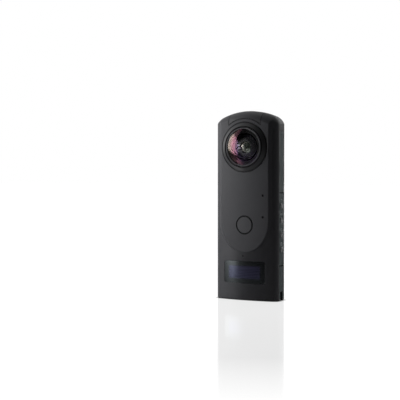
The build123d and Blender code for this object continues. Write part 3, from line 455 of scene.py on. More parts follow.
@dataclass(frozen=True)
class CoatedGlass:
    """Coated optical glass: clear, with a mirror image whose colour turns with the slant.

    The image has the colour level where the glass faces the eye, and turns to middle and then slant
    between the three slants. Faint rings, drawn wide enough to show, and the glass's back take from it.
    """

    name: str
    colour: str
    level: str
    middle: str
    slant: str
    ior: float
    slants: tuple[float, float, float] = (0.17, 0.28, 0.38)
    haze: tuple[float, float] = (0.03, 0.09)
    dust_mm: float = 2.5
    ring_mm: float = 1.7
    ring_top: float = 0.6
    ring_loss: float = 0.35
    back_loss: float = 0.92
    gone: str = "#201820"

    def material(self) -> Material:
        """Builds the glass: its clear body, its coating's colours and the dust on its polish.

        Returns:
            The material.
        """
        material, tree, place = blank_material(self.name)
        dust = add_node(
            tree, "ShaderNodeTexNoise", {"Vector": place, "Scale": per_mm(self.dust_mm), "Detail": 5.0}
        )
        haze = add_node(
            tree, "ShaderNodeMapRange", {"Value": dust, "To Min": self.haze[0], "To Max": self.haze[1]}
        )
        lean = add_node(tree, "ShaderNodeLayerWeight", {"Blend": 0.5}).outputs["Facing"]
        inner, outer = [
            add_node(tree, "ShaderNodeMapRange", {"Value": lean, "From Min": low, "From Max": high})
            for low, high in zip(self.slants, self.slants[1:])
        ]
        first = add_node(
            tree, "ShaderNodeMix",
            {0: inner, FIRST: linear(self.level), SECOND: linear(self.middle)}, data_type="RGBA",
        )
        coating = add_node(
            tree, "ShaderNodeMix",
            {0: outer, FIRST: first.outputs[MIXED], SECOND: linear(self.slant)}, data_type="RGBA",
        )
        reach = reach_from(tree, place, 0.0, LENS_HEIGHT_MM)
        ringed = waves(tree, reach, self.ring_mm, self.ring_top, self.ring_loss, 0.0)
        inside = add_node(tree, "ShaderNodeNewGeometry", {}).outputs["Backfacing"]
        absorbed = add_node(tree, "ShaderNodeMath", {0: inside, 1: self.back_loss}, operation="MULTIPLY")
        lost = add_node(tree, "ShaderNodeMath", {0: ringed, 1: absorbed}, operation="MAXIMUM")
        image = add_node(
            tree, "ShaderNodeMix",
            {0: lost, FIRST: coating.outputs[MIXED], SECOND: linear(self.gone)}, data_type="RGBA",
        ).outputs[MIXED]
        shader = add_node(
            tree, "ShaderNodeBsdfPrincipled",
            {
                "Base Color": linear(self.colour), "Roughness": haze, "IOR": self.ior,
                "Transmission Weight": 1.0, "Specular Tint": image,
            },
        )
        shade = add_node(tree, "ShaderNodeBsdfTransparent", {"Color": linear(self.colour)})
        shadow = add_node(tree, "ShaderNodeLightPath", {}).outputs["Is Shadow Ray"]
        whole = add_node(tree, "ShaderNodeMixShader", {0: shadow, 1: shader, 2: shade})
        add_node(tree, "ShaderNodeOutputMaterial", {"Surface": whole})
        return material


@dataclass(frozen=True)
class DisplayFinish:
    """Smoked acrylic window, printed black behind, with a dark display panel in its middle.

    The sheet is bowed across to the radius crown_mm, and its normal rises a little towards the sky. The
    panel's rows are drawn wider than its pixels, so that they show.
    """

    name: str
    mask: str
    panel: str
    row: str
    middle_mm: tuple[float, float] = (-0.5, 19.5)
    half_mm: tuple[float, float] = (12.2, 4.4)
    edge_mm: float = 0.7
    row_mm: float = 1.1
    smear_mm: float = 7.0
    roughness: float = 0.22
    spread: float = 0.04
    ior: float = 1.49
    border_level: float = 0.5
    panel_level: float = 0.675
    border_tint: str = "#e2eef2"
    panel_tint: str = "#ccd6f8"
    crown_mm: float = 150.0
    rise: float = 0.05

    def inside(self, tree: NodeTree, across: NodeSocket, number: int) -> NodeSocket:
        """One within the panel along one direction, and nought outside it.

        Args:
            tree: The material's node tree.
            across: The coordinate in that direction, in metres.
            number: Which of the two directions it is.

        Returns:
            The socket with that share.
        """
        off = add_node(
            tree, "ShaderNodeMath", {0: across, 1: self.middle_mm[number] * MM}, operation="SUBTRACT"
        )
        reach = add_node(tree, "ShaderNodeMath", {0: off}, operation="ABSOLUTE")
        return add_node(
            tree, "ShaderNodeMapRange",
            {
                "Value": reach, "From Min": (self.half_mm[number] + self.edge_mm) * MM,
                "From Max": (self.half_mm[number] - self.edge_mm) * MM,
            },
        ).outputs[0]

    def material(self) -> Material:
        """Builds the window's material.

        Returns:
            The material.
        """
        material, tree, place = blank_material(self.name)
        parted = add_node(tree, "ShaderNodeSeparateXYZ", {0: place})
        wide = self.inside(tree, parted.outputs["X"], 0)
        tall = self.inside(tree, parted.outputs["Z"], 1)
        share = add_node(tree, "ShaderNodeMath", {0: wide, 1: tall}, operation="MULTIPLY")
        rows = waves(tree, parted.outputs["Z"], self.row_mm)
        panel = add_node(
            tree, "ShaderNodeMix",
            {0: rows, FIRST: linear(self.panel), SECOND: linear(self.row)}, data_type="RGBA",
        )
        smear = add_node(
            tree, "ShaderNodeTexNoise", {"Vector": place, "Scale": per_mm(self.smear_mm), "Detail": 4.0}
        )
        gloss = add_node(
            tree, "ShaderNodeMapRange",
            {
                "Value": smear, "To Min": self.roughness - self.spread,
                "To Max": self.roughness + self.spread,
            },
        )
        lean = add_node(
            tree, "ShaderNodeMath", {0: parted.outputs["X"], 1: per_mm(self.crown_mm)}, operation="MULTIPLY"
        )
        shift = add_node(tree, "ShaderNodeCombineXYZ", {"X": lean, "Z": self.rise})
        base = add_node(tree, "ShaderNodeNewGeometry", {})
        leaned = add_node(
            tree, "ShaderNodeVectorMath", {0: base.outputs["Normal"], 1: shift}, operation="ADD"
        )
        normal = add_node(tree, "ShaderNodeVectorMath", {0: leaned}, operation="NORMALIZE")
        border, screen = [
            add_node(
                tree, "ShaderNodeBsdfPrincipled",
                {
                    "Base Color": tone, "Roughness": gloss, "IOR": self.ior,
                    "Specular IOR Level": level, "Specular Tint": linear(tint), "Normal": normal,
                },
            )
            for tone, level, tint in (
                (linear(self.mask), self.border_level, self.border_tint),
                (panel.outputs[MIXED], self.panel_level, self.panel_tint),
            )
        ]
        whole = add_node(tree, "ShaderNodeMixShader", {0: share, 1: border, 2: screen})
        add_node(tree, "ShaderNodeOutputMaterial", {"Surface": whole})
        return material


# Painted shade along the gaps round the cap, on both faces
CAP_SEAMS = (
    Seam(SeamForm.RING, z_mm=LENS_HEIGHT_MM, reach_mm=19.8, half_mm=0.45, from_mm=LENS_HEIGHT_MM,
         aside_mm=CAP_HALF_MM),
    Seam(SeamForm.UPRIGHT, reach_mm=CAP_HALF_MM, half_mm=0.45, depth=0.5, from_mm=122.4),
)
# Painted shade along the gap round the shutter button
BUTTON_SEAM = Seam(SeamForm.RING, z_mm=52.7, reach_mm=6.15, half_mm=0.65, depth=0.95, facing=-1)
# The casing also has painted shade at the rims of the microphone holes, the lamp holes and the bezels
CASING_SEAMS = CAP_SEAMS + (
    BUTTON_SEAM,
    Seam(SeamForm.RING, HOLE_SIDE_MM, MICROPHONE_HEIGHT_MM, half_mm=1.1, depth=0.95),
    Seam(SeamForm.RING, -HOLE_SIDE_MM, MICROPHONE_HEIGHT_MM, half_mm=1.1, depth=0.95, facing=1),
    Seam(SeamForm.RING, HOLE_SIDE_MM, 58.4, half_mm=1.1, depth=0.95, facing=-1),
    Seam(SeamForm.RING, -1.2, 30.9, half_mm=0.8, depth=0.7, facing=-1),
    Seam(SeamForm.RING, z_mm=LENS_HEIGHT_MM, reach_mm=17.3, depth=0.45),
)
# Painted shade along the joints above and below the key panel
PANEL_SEAMS = (Seam(SeamForm.LEVEL, z_mm=75.4, depth=0.9), Seam(SeamForm.LEVEL, z_mm=24.5, depth=0.9))
# Painted shade in the groove round the inner ring and along the bezel's own rim
BEZEL_SEAMS = (
    Seam(SeamForm.RING, z_mm=LENS_HEIGHT_MM, reach_mm=14.2, depth=0.9),
    Seam(SeamForm.RING, z_mm=LENS_HEIGHT_MM, reach_mm=17.1, half_mm=0.4, depth=0.45),
)

AnyFinish = Finish | CoatedGlass | DisplayFinish

FINISHES: dict[str, AnyFinish] = {
    # Cast magnesium with a fine powder coat: matt charcoal, with its grain drawn at 0.3 mm, coarser
    # than the real one, so that it shows
    "casing_metal": Finish("powder_coated_magnesium", "#39393c", "#3f3f42", 0.5, specular=0.15,
                           grain_mm=0.3, relief_mm=0.012, soften_mm=0.4, crown_mm=120.0, fall=0.23,
                           seams=CASING_SEAMS),
    # Moulded polycarbonate, spark eroded: as matt and grainy as the coat beside it
    "cap_plastic": Finish("spark_eroded_polycarbonate", "#38383a", "#3d3d40", 0.5, specular=0.2,
                          grain_mm=0.3, relief_mm=0.012, soften_mm=0.3, crown_mm=120.0, seams=CAP_SEAMS),
    # Smoother moulded polycarbonate strip: lighter and cooler than the casing
    "trim_plastic": Finish("satin_polycarbonate", "#525b5c", "#586263", 0.5, specular=0.06,
                           grain_mm=0.3, relief_mm=0.006, soften_mm=0.15, seams=PANEL_SEAMS),
    # ABS key tops from a satin mould: darker than the strip, and a little glossy
    "key_plastic": Finish("satin_abs", "#33383a", "#393e40", 0.34, specular=0.4, grain_mm=0.2,
                          relief_mm=0.004),
    # Machined aluminium disc under the same powder coat as the casing
    "button_metal": Finish("powder_coated_aluminium", "#38383b", "#3e3e41", 0.48, specular=0.2,
                           grain_mm=0.3, relief_mm=0.010, soften_mm=0.2, crown_mm=120.0,
                           seams=(BUTTON_SEAM,)),
    # Turned aluminium, black anodised: satin, with lathe rings drawn coarse enough to show
    "bezel_metal": Finish("black_anodised_turned_aluminium", "#28282a", "#2e2e30", 0.38, specular=0.25,
                          pattern=Pattern.TURNED, grain_mm=0.55, relief_mm=0.006, seams=BEZEL_SEAMS),
    # Anodised aluminium ring, cut bright: a thin pale line round the dome
    "ring_metal": Finish("bright_cut_anodised_aluminium", "#4a4a4d", "#545457", 0.34, metallic=0.6,
                         pattern=Pattern.TURNED, grain_mm=0.3, relief_mm=0.003),
    # Baffle of moulded nylon, ridged all round: black grooves and dim grey crests, painted shade and
    # painted highlight of its ridges
    "barrel_plastic": Finish("ridged_black_nylon", "#030304", "#202026", 0.42, specular=0.3,
                             pattern=Pattern.TURNED, grain_mm=1.75, relief_mm=0.12),
    # Multicoated crown glass: clear, and what its coats leave of the mirror image is violet, pink and
    # tan. The IOR is above crown glass's 1.52, so that this image is as bright as the photograph shows
    "optical_glass": CoatedGlass("multicoated_crown_glass", "#f4f4f4", "#5c3f7c", "#ff9cba", "#b49472",
                                 ior=1.6),
    # Flint glass prisms and inner lenses as a near black gloss: black lacquer on their sides, and painted
    # shade for the dark inside of the lens on their faces
    "prism_glass": Finish("flint_glass_lacquered_and_painted_shade", "#0d120f", "#131a16", 0.12, spread=0.03,
                          specular=0.4, pattern=Pattern.POLISHED),
    # Acrylic sheet with a hard coat: glossy and black, with the violet rows of the panel behind it
    "window_plastic": DisplayFinish("hard_coated_smoked_acrylic", "#070708", "#191727", "#262336"),
    # Glass of a display panel that is off: near black and polished
    "display_panel": Finish("oled_panel_glass", "#14141c", "#1a1a26", 0.12, spread=0.02,
                            pattern=Pattern.POLISHED),
    # Moulded nylon filled with glass: dull black with a coarse grain
    "inner_plastic": Finish("glass_filled_nylon", "#2b2b2c", "#353536", 0.6, grain_mm=0.4, relief_mm=0.02),
    # Acrylic light pipe, dark and glossy while its lamp is off
    "lamp_plastic": Finish("smoked_acrylic", "#070708", "#0b0b0c", 0.15, spread=0.03,
                           pattern=Pattern.POLISHED),
    # Fibreglass board under solder mask: satin green
    "circuit_board": Finish("solder_masked_fibreglass", "#0d4a2c", "#14603a", 0.3, grain_mm=0.5,
                            relief_mm=0.01, mottle_mm=2.0),
    # Moulded epoxy: matt black, with a very fine grain
    "chip_resin": Finish("moulded_epoxy", "#1b1b1c", "#222223", 0.5, grain_mm=0.12, relief_mm=0.006),
    # Rolled steel sheet, nickel plated: pale and bright, with fine scratches
    "sheet_steel": Finish("nickel_plated_steel", "#a8a8aa", "#b8b8ba", 0.28, metallic=1.0,
                          pattern=Pattern.BRUSHED, grain_mm=0.1, relief_mm=0.003),
    # Rolled copper sheet: warm, with fine scratches along it
    "copper_sheet": Finish("rolled_copper", "#b8764e", "#c78862", 0.32, metallic=1.0,
                           pattern=Pattern.BRUSHED, grain_mm=0.12, relief_mm=0.003),
    # Polyester film shrunk round the cell: blue grey, with shallow wrinkles
    "cell_wrap": Finish("polyester_cell_wrap", "#3a3c44", "#42444d", 0.4, grain_mm=1.2, relief_mm=0.02),
    # Cast magnesium as it leaves the die: dull silver with a coarse grain
    "chassis_metal": Finish("bare_cast_magnesium", "#8c8c8e", "#9c9c9e", 0.5, metallic=1.0, grain_mm=0.5,
                            relief_mm=0.02),
    # Turned stainless steel: bright, with a fine tool grain
    "socket_steel": Finish("turned_stainless_steel", "#8d8d90", "#9b9b9e", 0.3, metallic=1.0, grain_mm=0.2,
                           relief_mm=0.004),
    # Moulded polyamide: matt and nearly black
    "speaker_shell": Finish("moulded_polyamide", "#202022", "#28282a", 0.55, grain_mm=0.3, relief_mm=0.015),
}

# Pad printed ink of the key marks: a matt greyish white, a hair thick so that it stands out
MARK_INK = Finish("pad_printed_pale_ink", "#c2c8ca", "#ced3d5", 0.5, specular=0.3, grain_mm=0.1,
                  relief_mm=0.002)
# Brass of the aperture stops, blackened by oxide: its edges still catch the light
STOP_METAL = Finish("black_oxide_brass", "#161a18", "#1f2421", 0.3, metallic=0.5,
                    pattern=Pattern.TURNED, grain_mm=0.3, relief_mm=0.004)
# Flint glass of the second lens with one plain coat: its mirror image is close to white
SECOND_GLASS = CoatedGlass("single_coated_flint_glass", "#f0f4ee", "#c8c4bc", "#fff8ec", "#fff8ec",
                           ior=1.9)
# Polycarbonate of the strip on the speaker's side: the same satin with a faint violet cast
SPEAKER_STRIP = Finish("satin_polycarbonate_violet", "#48474d", "#4d4c52", 0.5, specular=0.06,
                       grain_mm=0.3, relief_mm=0.006, soften_mm=0.15)
# Woven mesh at the foot of each microphone hole: dull and black
HOLE_MESH = Finish("black_woven_acoustic_mesh", "#09090a", "#101011", 0.8, specular=0.1, grain_mm=0.1,
                   relief_mm=0.01)
OWN_FINISHES: dict[str, AnyFinish] = {
    "front_second_lens": SECOND_GLASS, "rear_second_lens": SECOND_GLASS, "speaker_trim": SPEAKER_STRIP,
    "microphones": HOLE_MESH,
}


def lathe(name: str, profile_mm: list[tuple[float, float]], facing: int, steps: int = 96) -> Object:
    """Turns a closed profile about a lens axis into a mesh object.

    Args:
        name: The object's name.
        profile_mm: Points of the profile, each a radius and a depth out from the mid-plane.
        facing: Minus one for the shutter side, one for the rear.
        steps: How many steps make the whole turn.

    Returns:
        The object, linked to the scene.
    """
    work = bmesh.new()
    rings = []
    for step in range(steps):
        angle = 2 * math.pi * step / steps
        rings.append([
            work.verts.new((
                reach * math.cos(angle) * MM, facing * depth * MM,
                (LENS_HEIGHT_MM + reach * math.sin(angle)) * MM,
            ))
            for reach, depth in profile_mm
        ])
    for step, ring in enumerate(rings):
        after = rings[(step + 1) % steps]
        for place in range(len(ring)):
            below = (place + 1) % len(ring)
            work.faces.new((ring[place], after[place], after[below], ring[below]))
    return finished(name, work)


def finished(name: str, work: bmesh.types.BMesh) -> Object:
    """Turns mesh work into an object with its faces outwards.

    Args:
        name: The object's name.
        work: The mesh work, which is freed.

    Returns:
        The object, linked to the scene.
    """
    bmesh.ops.recalc_face_normals(work, faces=work.faces[:])
    mesh = bpy.data.meshes.new(name)
    work.to_mesh(mesh)
    work.free()
    made = bpy.data.objects.new(name, mesh)
    bpy.context.scene.collection.objects.link(made)
    return made


@dataclass(frozen=True)
class ApertureStop:
    """Stepped rings behind a second lens, which leave the dark pupil in its middle."""

    side_name: str
    facing: int
    back_mm: float = 4.7
    outer_mm: float = 5.3
    steps_mm: tuple[tuple[float, float], ...] = ((4.4, 0.9), (3.4, 0.6), (2.4, 0.35), (1.5, 0.15))
    bevel_mm: float = 0.12

    def build(self, material: Material) -> None:
        """Makes the stop and mounts it on the camera's body.

        Args:
            material: Its finish.
        """
        profile = [(self.outer_mm, self.back_mm), (self.outer_mm, self.back_mm + self.steps_mm[0][1])]
        for reach, rise in self.steps_mm:
            profile.append((reach, self.back_mm + rise))
            profile.append((reach - self.bevel_mm, self.back_mm + rise - self.bevel_mm))
        profile.append((profile[-1][0], self.back_mm))
        stop = lathe(f"{self.side_name}_aperture_stop", profile, self.facing)
        stop.data.materials.append(material)
        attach(stop, "camera")
        log.info("built the %s aperture stop", self.side_name)


class Mark(Enum):
    """What each key's printed mark shows, from the lowest key up."""

    FUNCTION = "a small open square with a dot"
    MODE = "a frame with a lens ring"
    WIRELESS = "three arcs over a dot"
    POWER = "an open ring with a bar"


@dataclass(frozen=True)
class KeyMarks:
    """Generic marks printed on the key panel, one above each key."""

    face_mm: float = 24.0
    ink_mm: float = 0.02
    line_mm: float = 0.34
    heights_mm: tuple[float, ...] = (39.6, 49.4, 59.7, 69.9)
    arc_step_deg: float = 15.0
    fewest_steps: int = 6

    def strokes(self, mark: Mark) -> list[list[tuple[float, float]]]:
        """Lines of a mark, in millimetres about its middle.

        Args:
            mark: Which mark it is.

        Returns:
            The lines, each a list of points.
        """
        if mark is Mark.POWER:
            return [self.arc(0.95, 125.0, 415.0), [(0.0, 0.2), (0.0, 1.15)]]
        if mark is Mark.WIRELESS:
            arcs = [self.arc(reach, 45.0, 135.0, -0.8) for reach in (0.75, 1.3, 1.85)]
            return arcs + [self.arc(0.12, 0.0, 360.0, -0.75)]
        if mark is Mark.MODE:
            frame = [(-1.2, -0.8), (1.2, -0.8), (1.2, 0.8), (-1.2, 0.8), (-1.2, -0.8)]
            return [frame, self.arc(0.35, 0.0, 360.0)]
        square = [(-0.9, -0.9), (0.9, -0.9), (0.9, 0.9), (-0.9, 0.9), (-0.9, -0.9)]
        return [square, self.arc(0.15, 0.0, 360.0)]

    def arc(self, reach: float, start: float, end: float, lift: float = 0.0) -> list[tuple[float, float]]:
        """Points along an arc.

        Args:
            reach: Its radius.
            start: Its first angle in degrees.
            end: Its last angle.
            lift: How far its middle lies above the mark's.

        Returns:
            The points.
        """
        count = max(self.fewest_steps, int(abs(end - start) / self.arc_step_deg))
        angles = [math.radians(start + (end - start) * step / count) for step in range(count + 1)]
        return [(reach * math.cos(angle), lift + reach * math.sin(angle)) for angle in angles]

    def print_line(self, work: bmesh.types.BMesh, line: list[tuple[float, float]], height: float) -> None:
        """Adds one printed line as a chain of thin slabs, which overlap a little at their ends.

        Args:
            work: The mesh work that gets it.
            line: Its points.
            height: Height of the mark's middle.
        """
        for start, end in zip(line, line[1:]):
            along = Vector((end[0] - start[0], end[1] - start[1]))
            side = Vector((-along.y, along.x)).normalized() * self.line_mm / 2
            more = along.normalized() * self.line_mm / 4
            flat = [
                (end_y + onward * more.x + aside * side.x, end_z + onward * more.y + aside * side.y)
                for (end_y, end_z), onward, aside in (
                    (start, -1, 1), (end, 1, 1), (end, 1, -1), (start, -1, -1),
                )
            ]
            low, top = [
                [work.verts.new((reach * MM, y * MM, (height + z) * MM)) for y, z in flat]
                for reach in (self.face_mm - self.ink_mm, self.face_mm + self.ink_mm)
            ]
            work.faces.new(top)
            for place in range(len(flat)):
                after = (place + 1) % len(flat)
                work.faces.new((low[place], low[after], top[after], top[place]))

    def build(self, material: Material) -> None:
        """Prints all four marks.

        Args:
            material: The ink.
        """
        for mark, height in zip(Mark, self.heights_mm):
            work = bmesh.new()
            for line in self.strokes(mark):
                self.print_line(work, line, height)
            print_piece = finished(f"{mark.name.lower()}_key_mark", work)
            print_piece.data.materials.append(material)
            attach(print_piece, "camera")
        log.info("printed %d key marks", len(self.heights_mm))


@dataclass
class Dressing:
    """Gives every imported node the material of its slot, or one of its own."""

    frame: dict[str, Any]
    made: dict[str, Material] = field(default_factory=dict)

    def material(self, finish: AnyFinish) -> Material:
        """The material of a finish, made on its first use.

        Args:
            finish: The finish.

        Returns:
            The material.
        """
        if finish.name not in self.made:
            self.made[finish.name] = finish.material()
        return self.made[finish.name]

    def dress(self) -> None:
        """Assigns each node's material to its object."""
        for part in self.frame["record"]["subparts"]:
            node = self.frame["nodes"][part["node"]]
            finish = OWN_FINISHES.get(part["node"], FINISHES[part["material_slot"]])
            for slot in node.material_slots:
                slot.material = self.material(finish)
            log.info("dressed %s in %s", part["node"], finish.name)


def looked_at(tree: NodeTree, path: Node) -> NodeSocket:
    """One where the camera, a gloss or a glass looks, and nought where light only falls.

    Args:
        tree: The node tree.
        path: Its Light Path node.

    Returns:
        The socket with that share.
    """
    first = add_node(
        tree, "ShaderNodeMath",
        {0: path.outputs["Is Camera Ray"], 1: path.outputs["Is Glossy Ray"]}, operation="MAXIMUM",
    )
    return add_node(
        tree, "ShaderNodeMath", {0: first, 1: path.outputs["Is Transmission Ray"]}, operation="MAXIMUM"
    ).outputs[0]


@dataclass(frozen=True)
class Softbox:
    """One lamp behind cloth, which fades towards its edges. Its power is in watts."""

    name: str
    place_mm: tuple[float, float, float]
    size_mm: tuple[float, float]
    power: float
    aim_mm: tuple[float, float, float] = (0.0, 0.0, 70.0)
    gloss: bool = True
    middle: float = 0.5
    full_share: float = 0.3

    def cloth(self, data: Light) -> None:
        """Lays the cloth's fade over the lamp.

        Across and up the lamp, a coordinate runs from nought to one. Within full_share of the middle
        the cloth takes nothing.

        Args:
            data: The lamp.
        """
        data.use_nodes = True
        tree = data.node_tree
        tree.nodes.clear()
        spot = add_node(tree, "ShaderNodeNewGeometry", {}).outputs["Parametric"]
        parted = add_node(tree, "ShaderNodeSeparateXYZ", {0: spot})
        fades = []
        for name in ("X", "Y"):
            off = add_node(
                tree, "ShaderNodeMath", {0: parted.outputs[name], 1: self.middle}, operation="SUBTRACT"
            )
            reach = add_node(tree, "ShaderNodeMath", {0: off}, operation="ABSOLUTE")
            fades.append(add_node(
                tree, "ShaderNodeMapRange",
                {"Value": reach, "From Min": self.middle, "From Max": self.full_share},
                interpolation_type="SMOOTHSTEP",
            ))
        level = add_node(tree, "ShaderNodeMath", {0: fades[0], 1: fades[1]}, operation="MULTIPLY")
        glow = add_node(tree, "ShaderNodeEmission", {"Color": linear(WHITE), "Strength": level})
        add_node(tree, "ShaderNodeOutputLight", {"Surface": glow})

    def hang(self) -> None:
        """Hangs the lamp in its place and turns it to its aim."""
        data = bpy.data.lights.new(self.name, "AREA")
        data.shape = "RECTANGLE"
        data.size, data.size_y = self.size_mm[0] * MM, self.size_mm[1] * MM
        data.energy = self.power
        self.cloth(data)
        box = bpy.data.objects.new(self.name, data)
        box.visible_camera = False
        box.visible_glossy = self.gloss
        bpy.context.scene.collection.objects.link(box)
        box.location = Vector(self.place_mm) * MM
        aim = (Vector(self.aim_mm) - Vector(self.place_mm)).normalized()
        box.rotation_euler = aim.to_track_quat("-Z", "Z").to_euler()


# A strong near box at the left, then one behind, a fill that glosses don't mirror, and one above
SOFTBOXES = (
    Softbox("key_softbox", (-197.0, -122.0, 131.0), (180.0, 280.0), 1.22, (0.0, -12.0, 95.0)),
    Softbox("rear_softbox", (20.0, 440.0, 130.0), (160.0, 380.0), 1.7),
    Softbox("fill_softbox", (420.0, 80.0, 130.0), (200.0, 380.0), 0.42, gloss=False),
    Softbox("top_softbox", (-60.0, 60.0, 650.0), (420.0, 420.0), 0.54),
)


@dataclass(frozen=True)
class BlackCard:
    """Velvet card in an arc at the front and right, which keeps stray light off that side.

    The glosses of the camera mirror it, but the eye and the floor don't see it.
    """

    radius_mm: float = 500.0
    start_deg: float = -46.0
    end_deg: float = 132.0
    steps: int = 24
    heights_mm: tuple[float, float] = (12.0, 1200.0)
    nap_mm: float = 5.0
    nap: tuple[str, str] = ("#060606", "#0c0c0c")
    floor_mm: float = 0.1

    def stand(self) -> None:
        """Stands the card in its place."""
        work = bmesh.new()
        columns = []
        for step in range(self.steps + 1):
            angle = math.radians(self.start_deg + (self.end_deg - self.start_deg) * step / self.steps)
            columns.append([
                work.verts.new(Vector((
                    math.sin(angle) * self.radius_mm, -math.cos(angle) * self.radius_mm, height,
                )) * MM)
                for height in self.heights_mm
            ])
        for left, right in zip(columns, columns[1:]):
            work.faces.new((left[0], right[0], right[1], left[1]))
        card = finished("black_flag", work)
        card.data.materials.append(self.material())
        card.visible_camera = False

    def material(self) -> Material:
        """Makes the velvet, which is clear to rays that come from the floor.

        Returns:
            The material.
        """
        material, tree, place = blank_material("black_velvet_card")
        nap = add_node(tree, "ShaderNodeTexNoise", {"Vector": place, "Scale": per_mm(self.nap_mm)})
        tone = add_node(
            tree, "ShaderNodeMix",
            {0: nap, FIRST: linear(self.nap[0]), SECOND: linear(self.nap[1])}, data_type="RGBA",
        )
        matt = add_node(tree, "ShaderNodeBsdfDiffuse", {"Color": tone.outputs[MIXED]})
        clear = add_node(tree, "ShaderNodeBsdfTransparent", {})
        whole = add_node(tree, "ShaderNodeMixShader", {0: self.from_floor(tree), 1: matt, 2: clear})
        add_node(tree, "ShaderNodeOutputMaterial", {"Surface": whole})
        return material

    def from_floor(self, tree: NodeTree) -> NodeSocket:
        """One where a ray starts on the floor, so that the floor doesn't mirror the card.

        Args:
            tree: The node tree.

        Returns:
            The socket with that share.
        """
        met = add_node(tree, "ShaderNodeNewGeometry", {})
        gone = add_node(tree, "ShaderNodeLightPath", {}).outputs["Ray Length"]
        back = add_node(
            tree, "ShaderNodeVectorMath", {0: met.outputs["Incoming"], "Scale": gone}, operation="SCALE"
        )
        start = add_node(
            tree, "ShaderNodeVectorMath", {0: met.outputs["Position"], 1: back}, operation="ADD"
        )
        height = add_node(tree, "ShaderNodeSeparateXYZ", {0: start}).outputs["Z"]
        low = add_node(tree, "ShaderNodeMath", {0: height, 1: self.floor_mm * MM}, operation="LESS_THAN")
        return low.outputs[0]


@dataclass(frozen=True)
class Floor:
    """White sweep paper: it glows to the eye, with a thin contact shade and a faint mirror image."""

    half_m: float = 6.0
    cuts: int = 8
    drop_mm: float = 0.02
    fibre_mm: float = 14.0
    tones: tuple[str, str] = ("#909090", "#989898")
    lit_share: float = 0.16
    glow: float = 1.02
    mirrored_glow: float = 0.25
    contact_mm: float = 2.5
    contact_power: float = 3.0
    contact_samples: int = 8
    mirror_roughness: float = 0.08
    mirror_share: float = 0.27
    mirror_fade_mm: tuple[float, float] = (230.0, 350.0)

    def lay(self) -> None:
        """Lays the floor a hair below the camera's base."""
        work = bmesh.new()
        bmesh.ops.create_grid(work, x_segments=self.cuts, y_segments=self.cuts, size=self.half_m)
        floor = finished("floor", work)
        floor.location.z = -self.drop_mm * MM
        floor.data.materials.append(self.material())

    def material(self) -> Material:
        """Builds the paper: matt where light only falls, glowing and faintly glossy where it is seen.

        Returns:
            The material.
        """
        material, tree, place = blank_material("white_sweep_paper")
        path = add_node(tree, "ShaderNodeLightPath", {})
        fibre = add_node(
            tree, "ShaderNodeTexNoise", {"Vector": place, "Scale": per_mm(self.fibre_mm), "Detail": 3.0}
        )
        tone = add_node(
            tree, "ShaderNodeMix",
            {0: fibre, FIRST: linear(self.tones[0]), SECOND: linear(self.tones[1])}, data_type="RGBA",
        )
        matt = add_node(tree, "ShaderNodeBsdfDiffuse", {"Color": tone.outputs[MIXED]})
        lit_tone = (self.lit_share, self.lit_share, self.lit_share, 1.0)
        shade = add_node(tree, "ShaderNodeBsdfDiffuse", {"Color": lit_tone})
        level = add_node(
            tree, "ShaderNodeMapRange",
            {"Value": path.outputs["Is Glossy Ray"], "To Min": self.glow, "To Max": self.mirrored_glow},
        )
        lit = add_node(
            tree, "ShaderNodeEmission",
            {"Color": linear(WHITE), "Strength": self.touched(tree, level.outputs[0])},
        )
        paper = add_node(tree, "ShaderNodeAddShader", {0: shade, 1: lit})
        mirror = add_node(
            tree, "ShaderNodeBsdfGlossy", {"Color": linear(WHITE), "Roughness": self.mirror_roughness}
        )
        reach = add_node(tree, "ShaderNodeVectorMath", {0: place}, operation="LENGTH").outputs["Value"]
        share = add_node(
            tree, "ShaderNodeMapRange",
            {
                "Value": reach, "From Min": self.mirror_fade_mm[0] * MM,
                "From Max": self.mirror_fade_mm[1] * MM, "To Min": self.mirror_share, "To Max": 0.0,
            },
        )
        polished = add_node(tree, "ShaderNodeMixShader", {0: share, 1: paper, 2: mirror})
        whole = add_node(tree, "ShaderNodeMixShader", {0: looked_at(tree, path), 1: matt, 2: polished})
        add_node(tree, "ShaderNodeOutputMaterial", {"Surface": whole})
        return material

    def touched(self, tree: NodeTree, level: NodeSocket) -> NodeSocket:
        """The glow, darkened close to where something touches the floor.

        Args:
            tree: The node tree.
            level: The glow in the open.

        Returns:
            The socket with the glow.
        """
        around = add_node(
            tree, "ShaderNodeAmbientOcclusion", {"Distance": self.contact_mm * MM},
            samples=self.contact_samples,
        )
        contact = add_node(
            tree, "ShaderNodeMath", {0: around.outputs["AO"], 1: self.contact_power}, operation="POWER"
        )
        return add_node(tree, "ShaderNodeMath", {0: contact, 1: level}, operation="MULTIPLY").outputs[0]


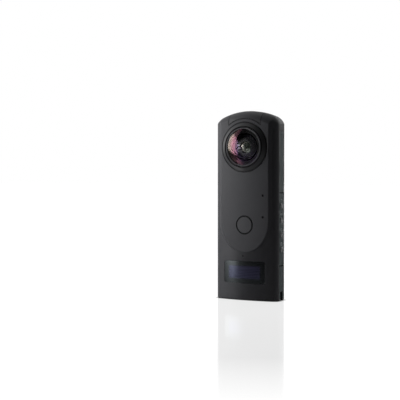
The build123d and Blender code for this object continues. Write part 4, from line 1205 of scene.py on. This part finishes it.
@dataclass(frozen=True)
class Studio:
    """The sweep, softboxes, card, world and camera that give the photograph's light and view."""

    distance_mm: float = 718.0
    azimuth_deg: float = 27.0
    height_mm: float = 89.0
    focal_px: float = 1015.0
    axis_px: float = 50.7
    horizon_px: float = 27.0
    sensor_mm: float = 36.0
    near_mm: float = 10.0
    world_light: float = 0.06

    def camera(self) -> None:
        """Makes the camera where the photograph's camera stood."""
        angle = math.radians(self.azimuth_deg)
        data = bpy.data.cameras.new("camera")
        data.sensor_width = self.sensor_mm
        data.lens = self.focal_px * self.sensor_mm / IMAGE_SIDE
        data.clip_start = self.near_mm * MM
        eye = bpy.data.objects.new("camera", data)
        bpy.context.scene.collection.objects.link(eye)
        eye.location = Vector((math.sin(angle), -math.cos(angle), 0.0)) * self.distance_mm * MM
        eye.location.z = self.height_mm * MM
        turn = math.atan(self.axis_px / self.focal_px)
        dip = math.atan(self.horizon_px / self.focal_px)
        heading = angle + turn
        aim = Vector((-math.sin(heading), math.cos(heading), 0.0)) * math.cos(dip)
        aim.z = -math.sin(dip)
        eye.rotation_euler = aim.to_track_quat("-Z", "Y").to_euler()
        bpy.context.scene.camera = eye

    def world(self) -> None:
        """Makes the white surroundings, dim as a light and white to the eye."""
        world = bpy.data.worlds.new("white_studio")
        world.use_nodes = True
        tree = world.node_tree
        tree.nodes.clear()
        seen = looked_at(tree, add_node(tree, "ShaderNodeLightPath", {}))
        level = add_node(
            tree, "ShaderNodeMapRange", {"Value": seen, "To Min": self.world_light, "To Max": 1.0}
        )
        sky = add_node(tree, "ShaderNodeBackground", {"Color": linear(WHITE), "Strength": level})
        add_node(tree, "ShaderNodeOutputWorld", {"Surface": sky})
        bpy.context.scene.world = world

    def build(self) -> None:
        """Sets up the whole studio."""
        bpy.context.scene.view_settings.view_transform = "Standard"
        self.camera()
        Floor().lay()
        self.world()
        for box in SOFTBOXES:
            box.hang()
        BlackCard().stand()
        log.info("studio ready with %d softboxes", len(SOFTBOXES))


def main() -> None:
    """Loads the frame, dresses it and sets up the studio."""
    logging.basicConfig(level=logging.INFO, format="%(message)s")
    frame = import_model()
    Dressing(frame).dress()
    stop_metal = STOP_METAL.material()
    for side_name, facing in (("front", -1), ("rear", 1)):
        ApertureStop(side_name, facing).build(stop_metal)
    KeyMarks().build(MARK_INK.material())
    Studio().build()


if __name__ == "__main__":
    main()
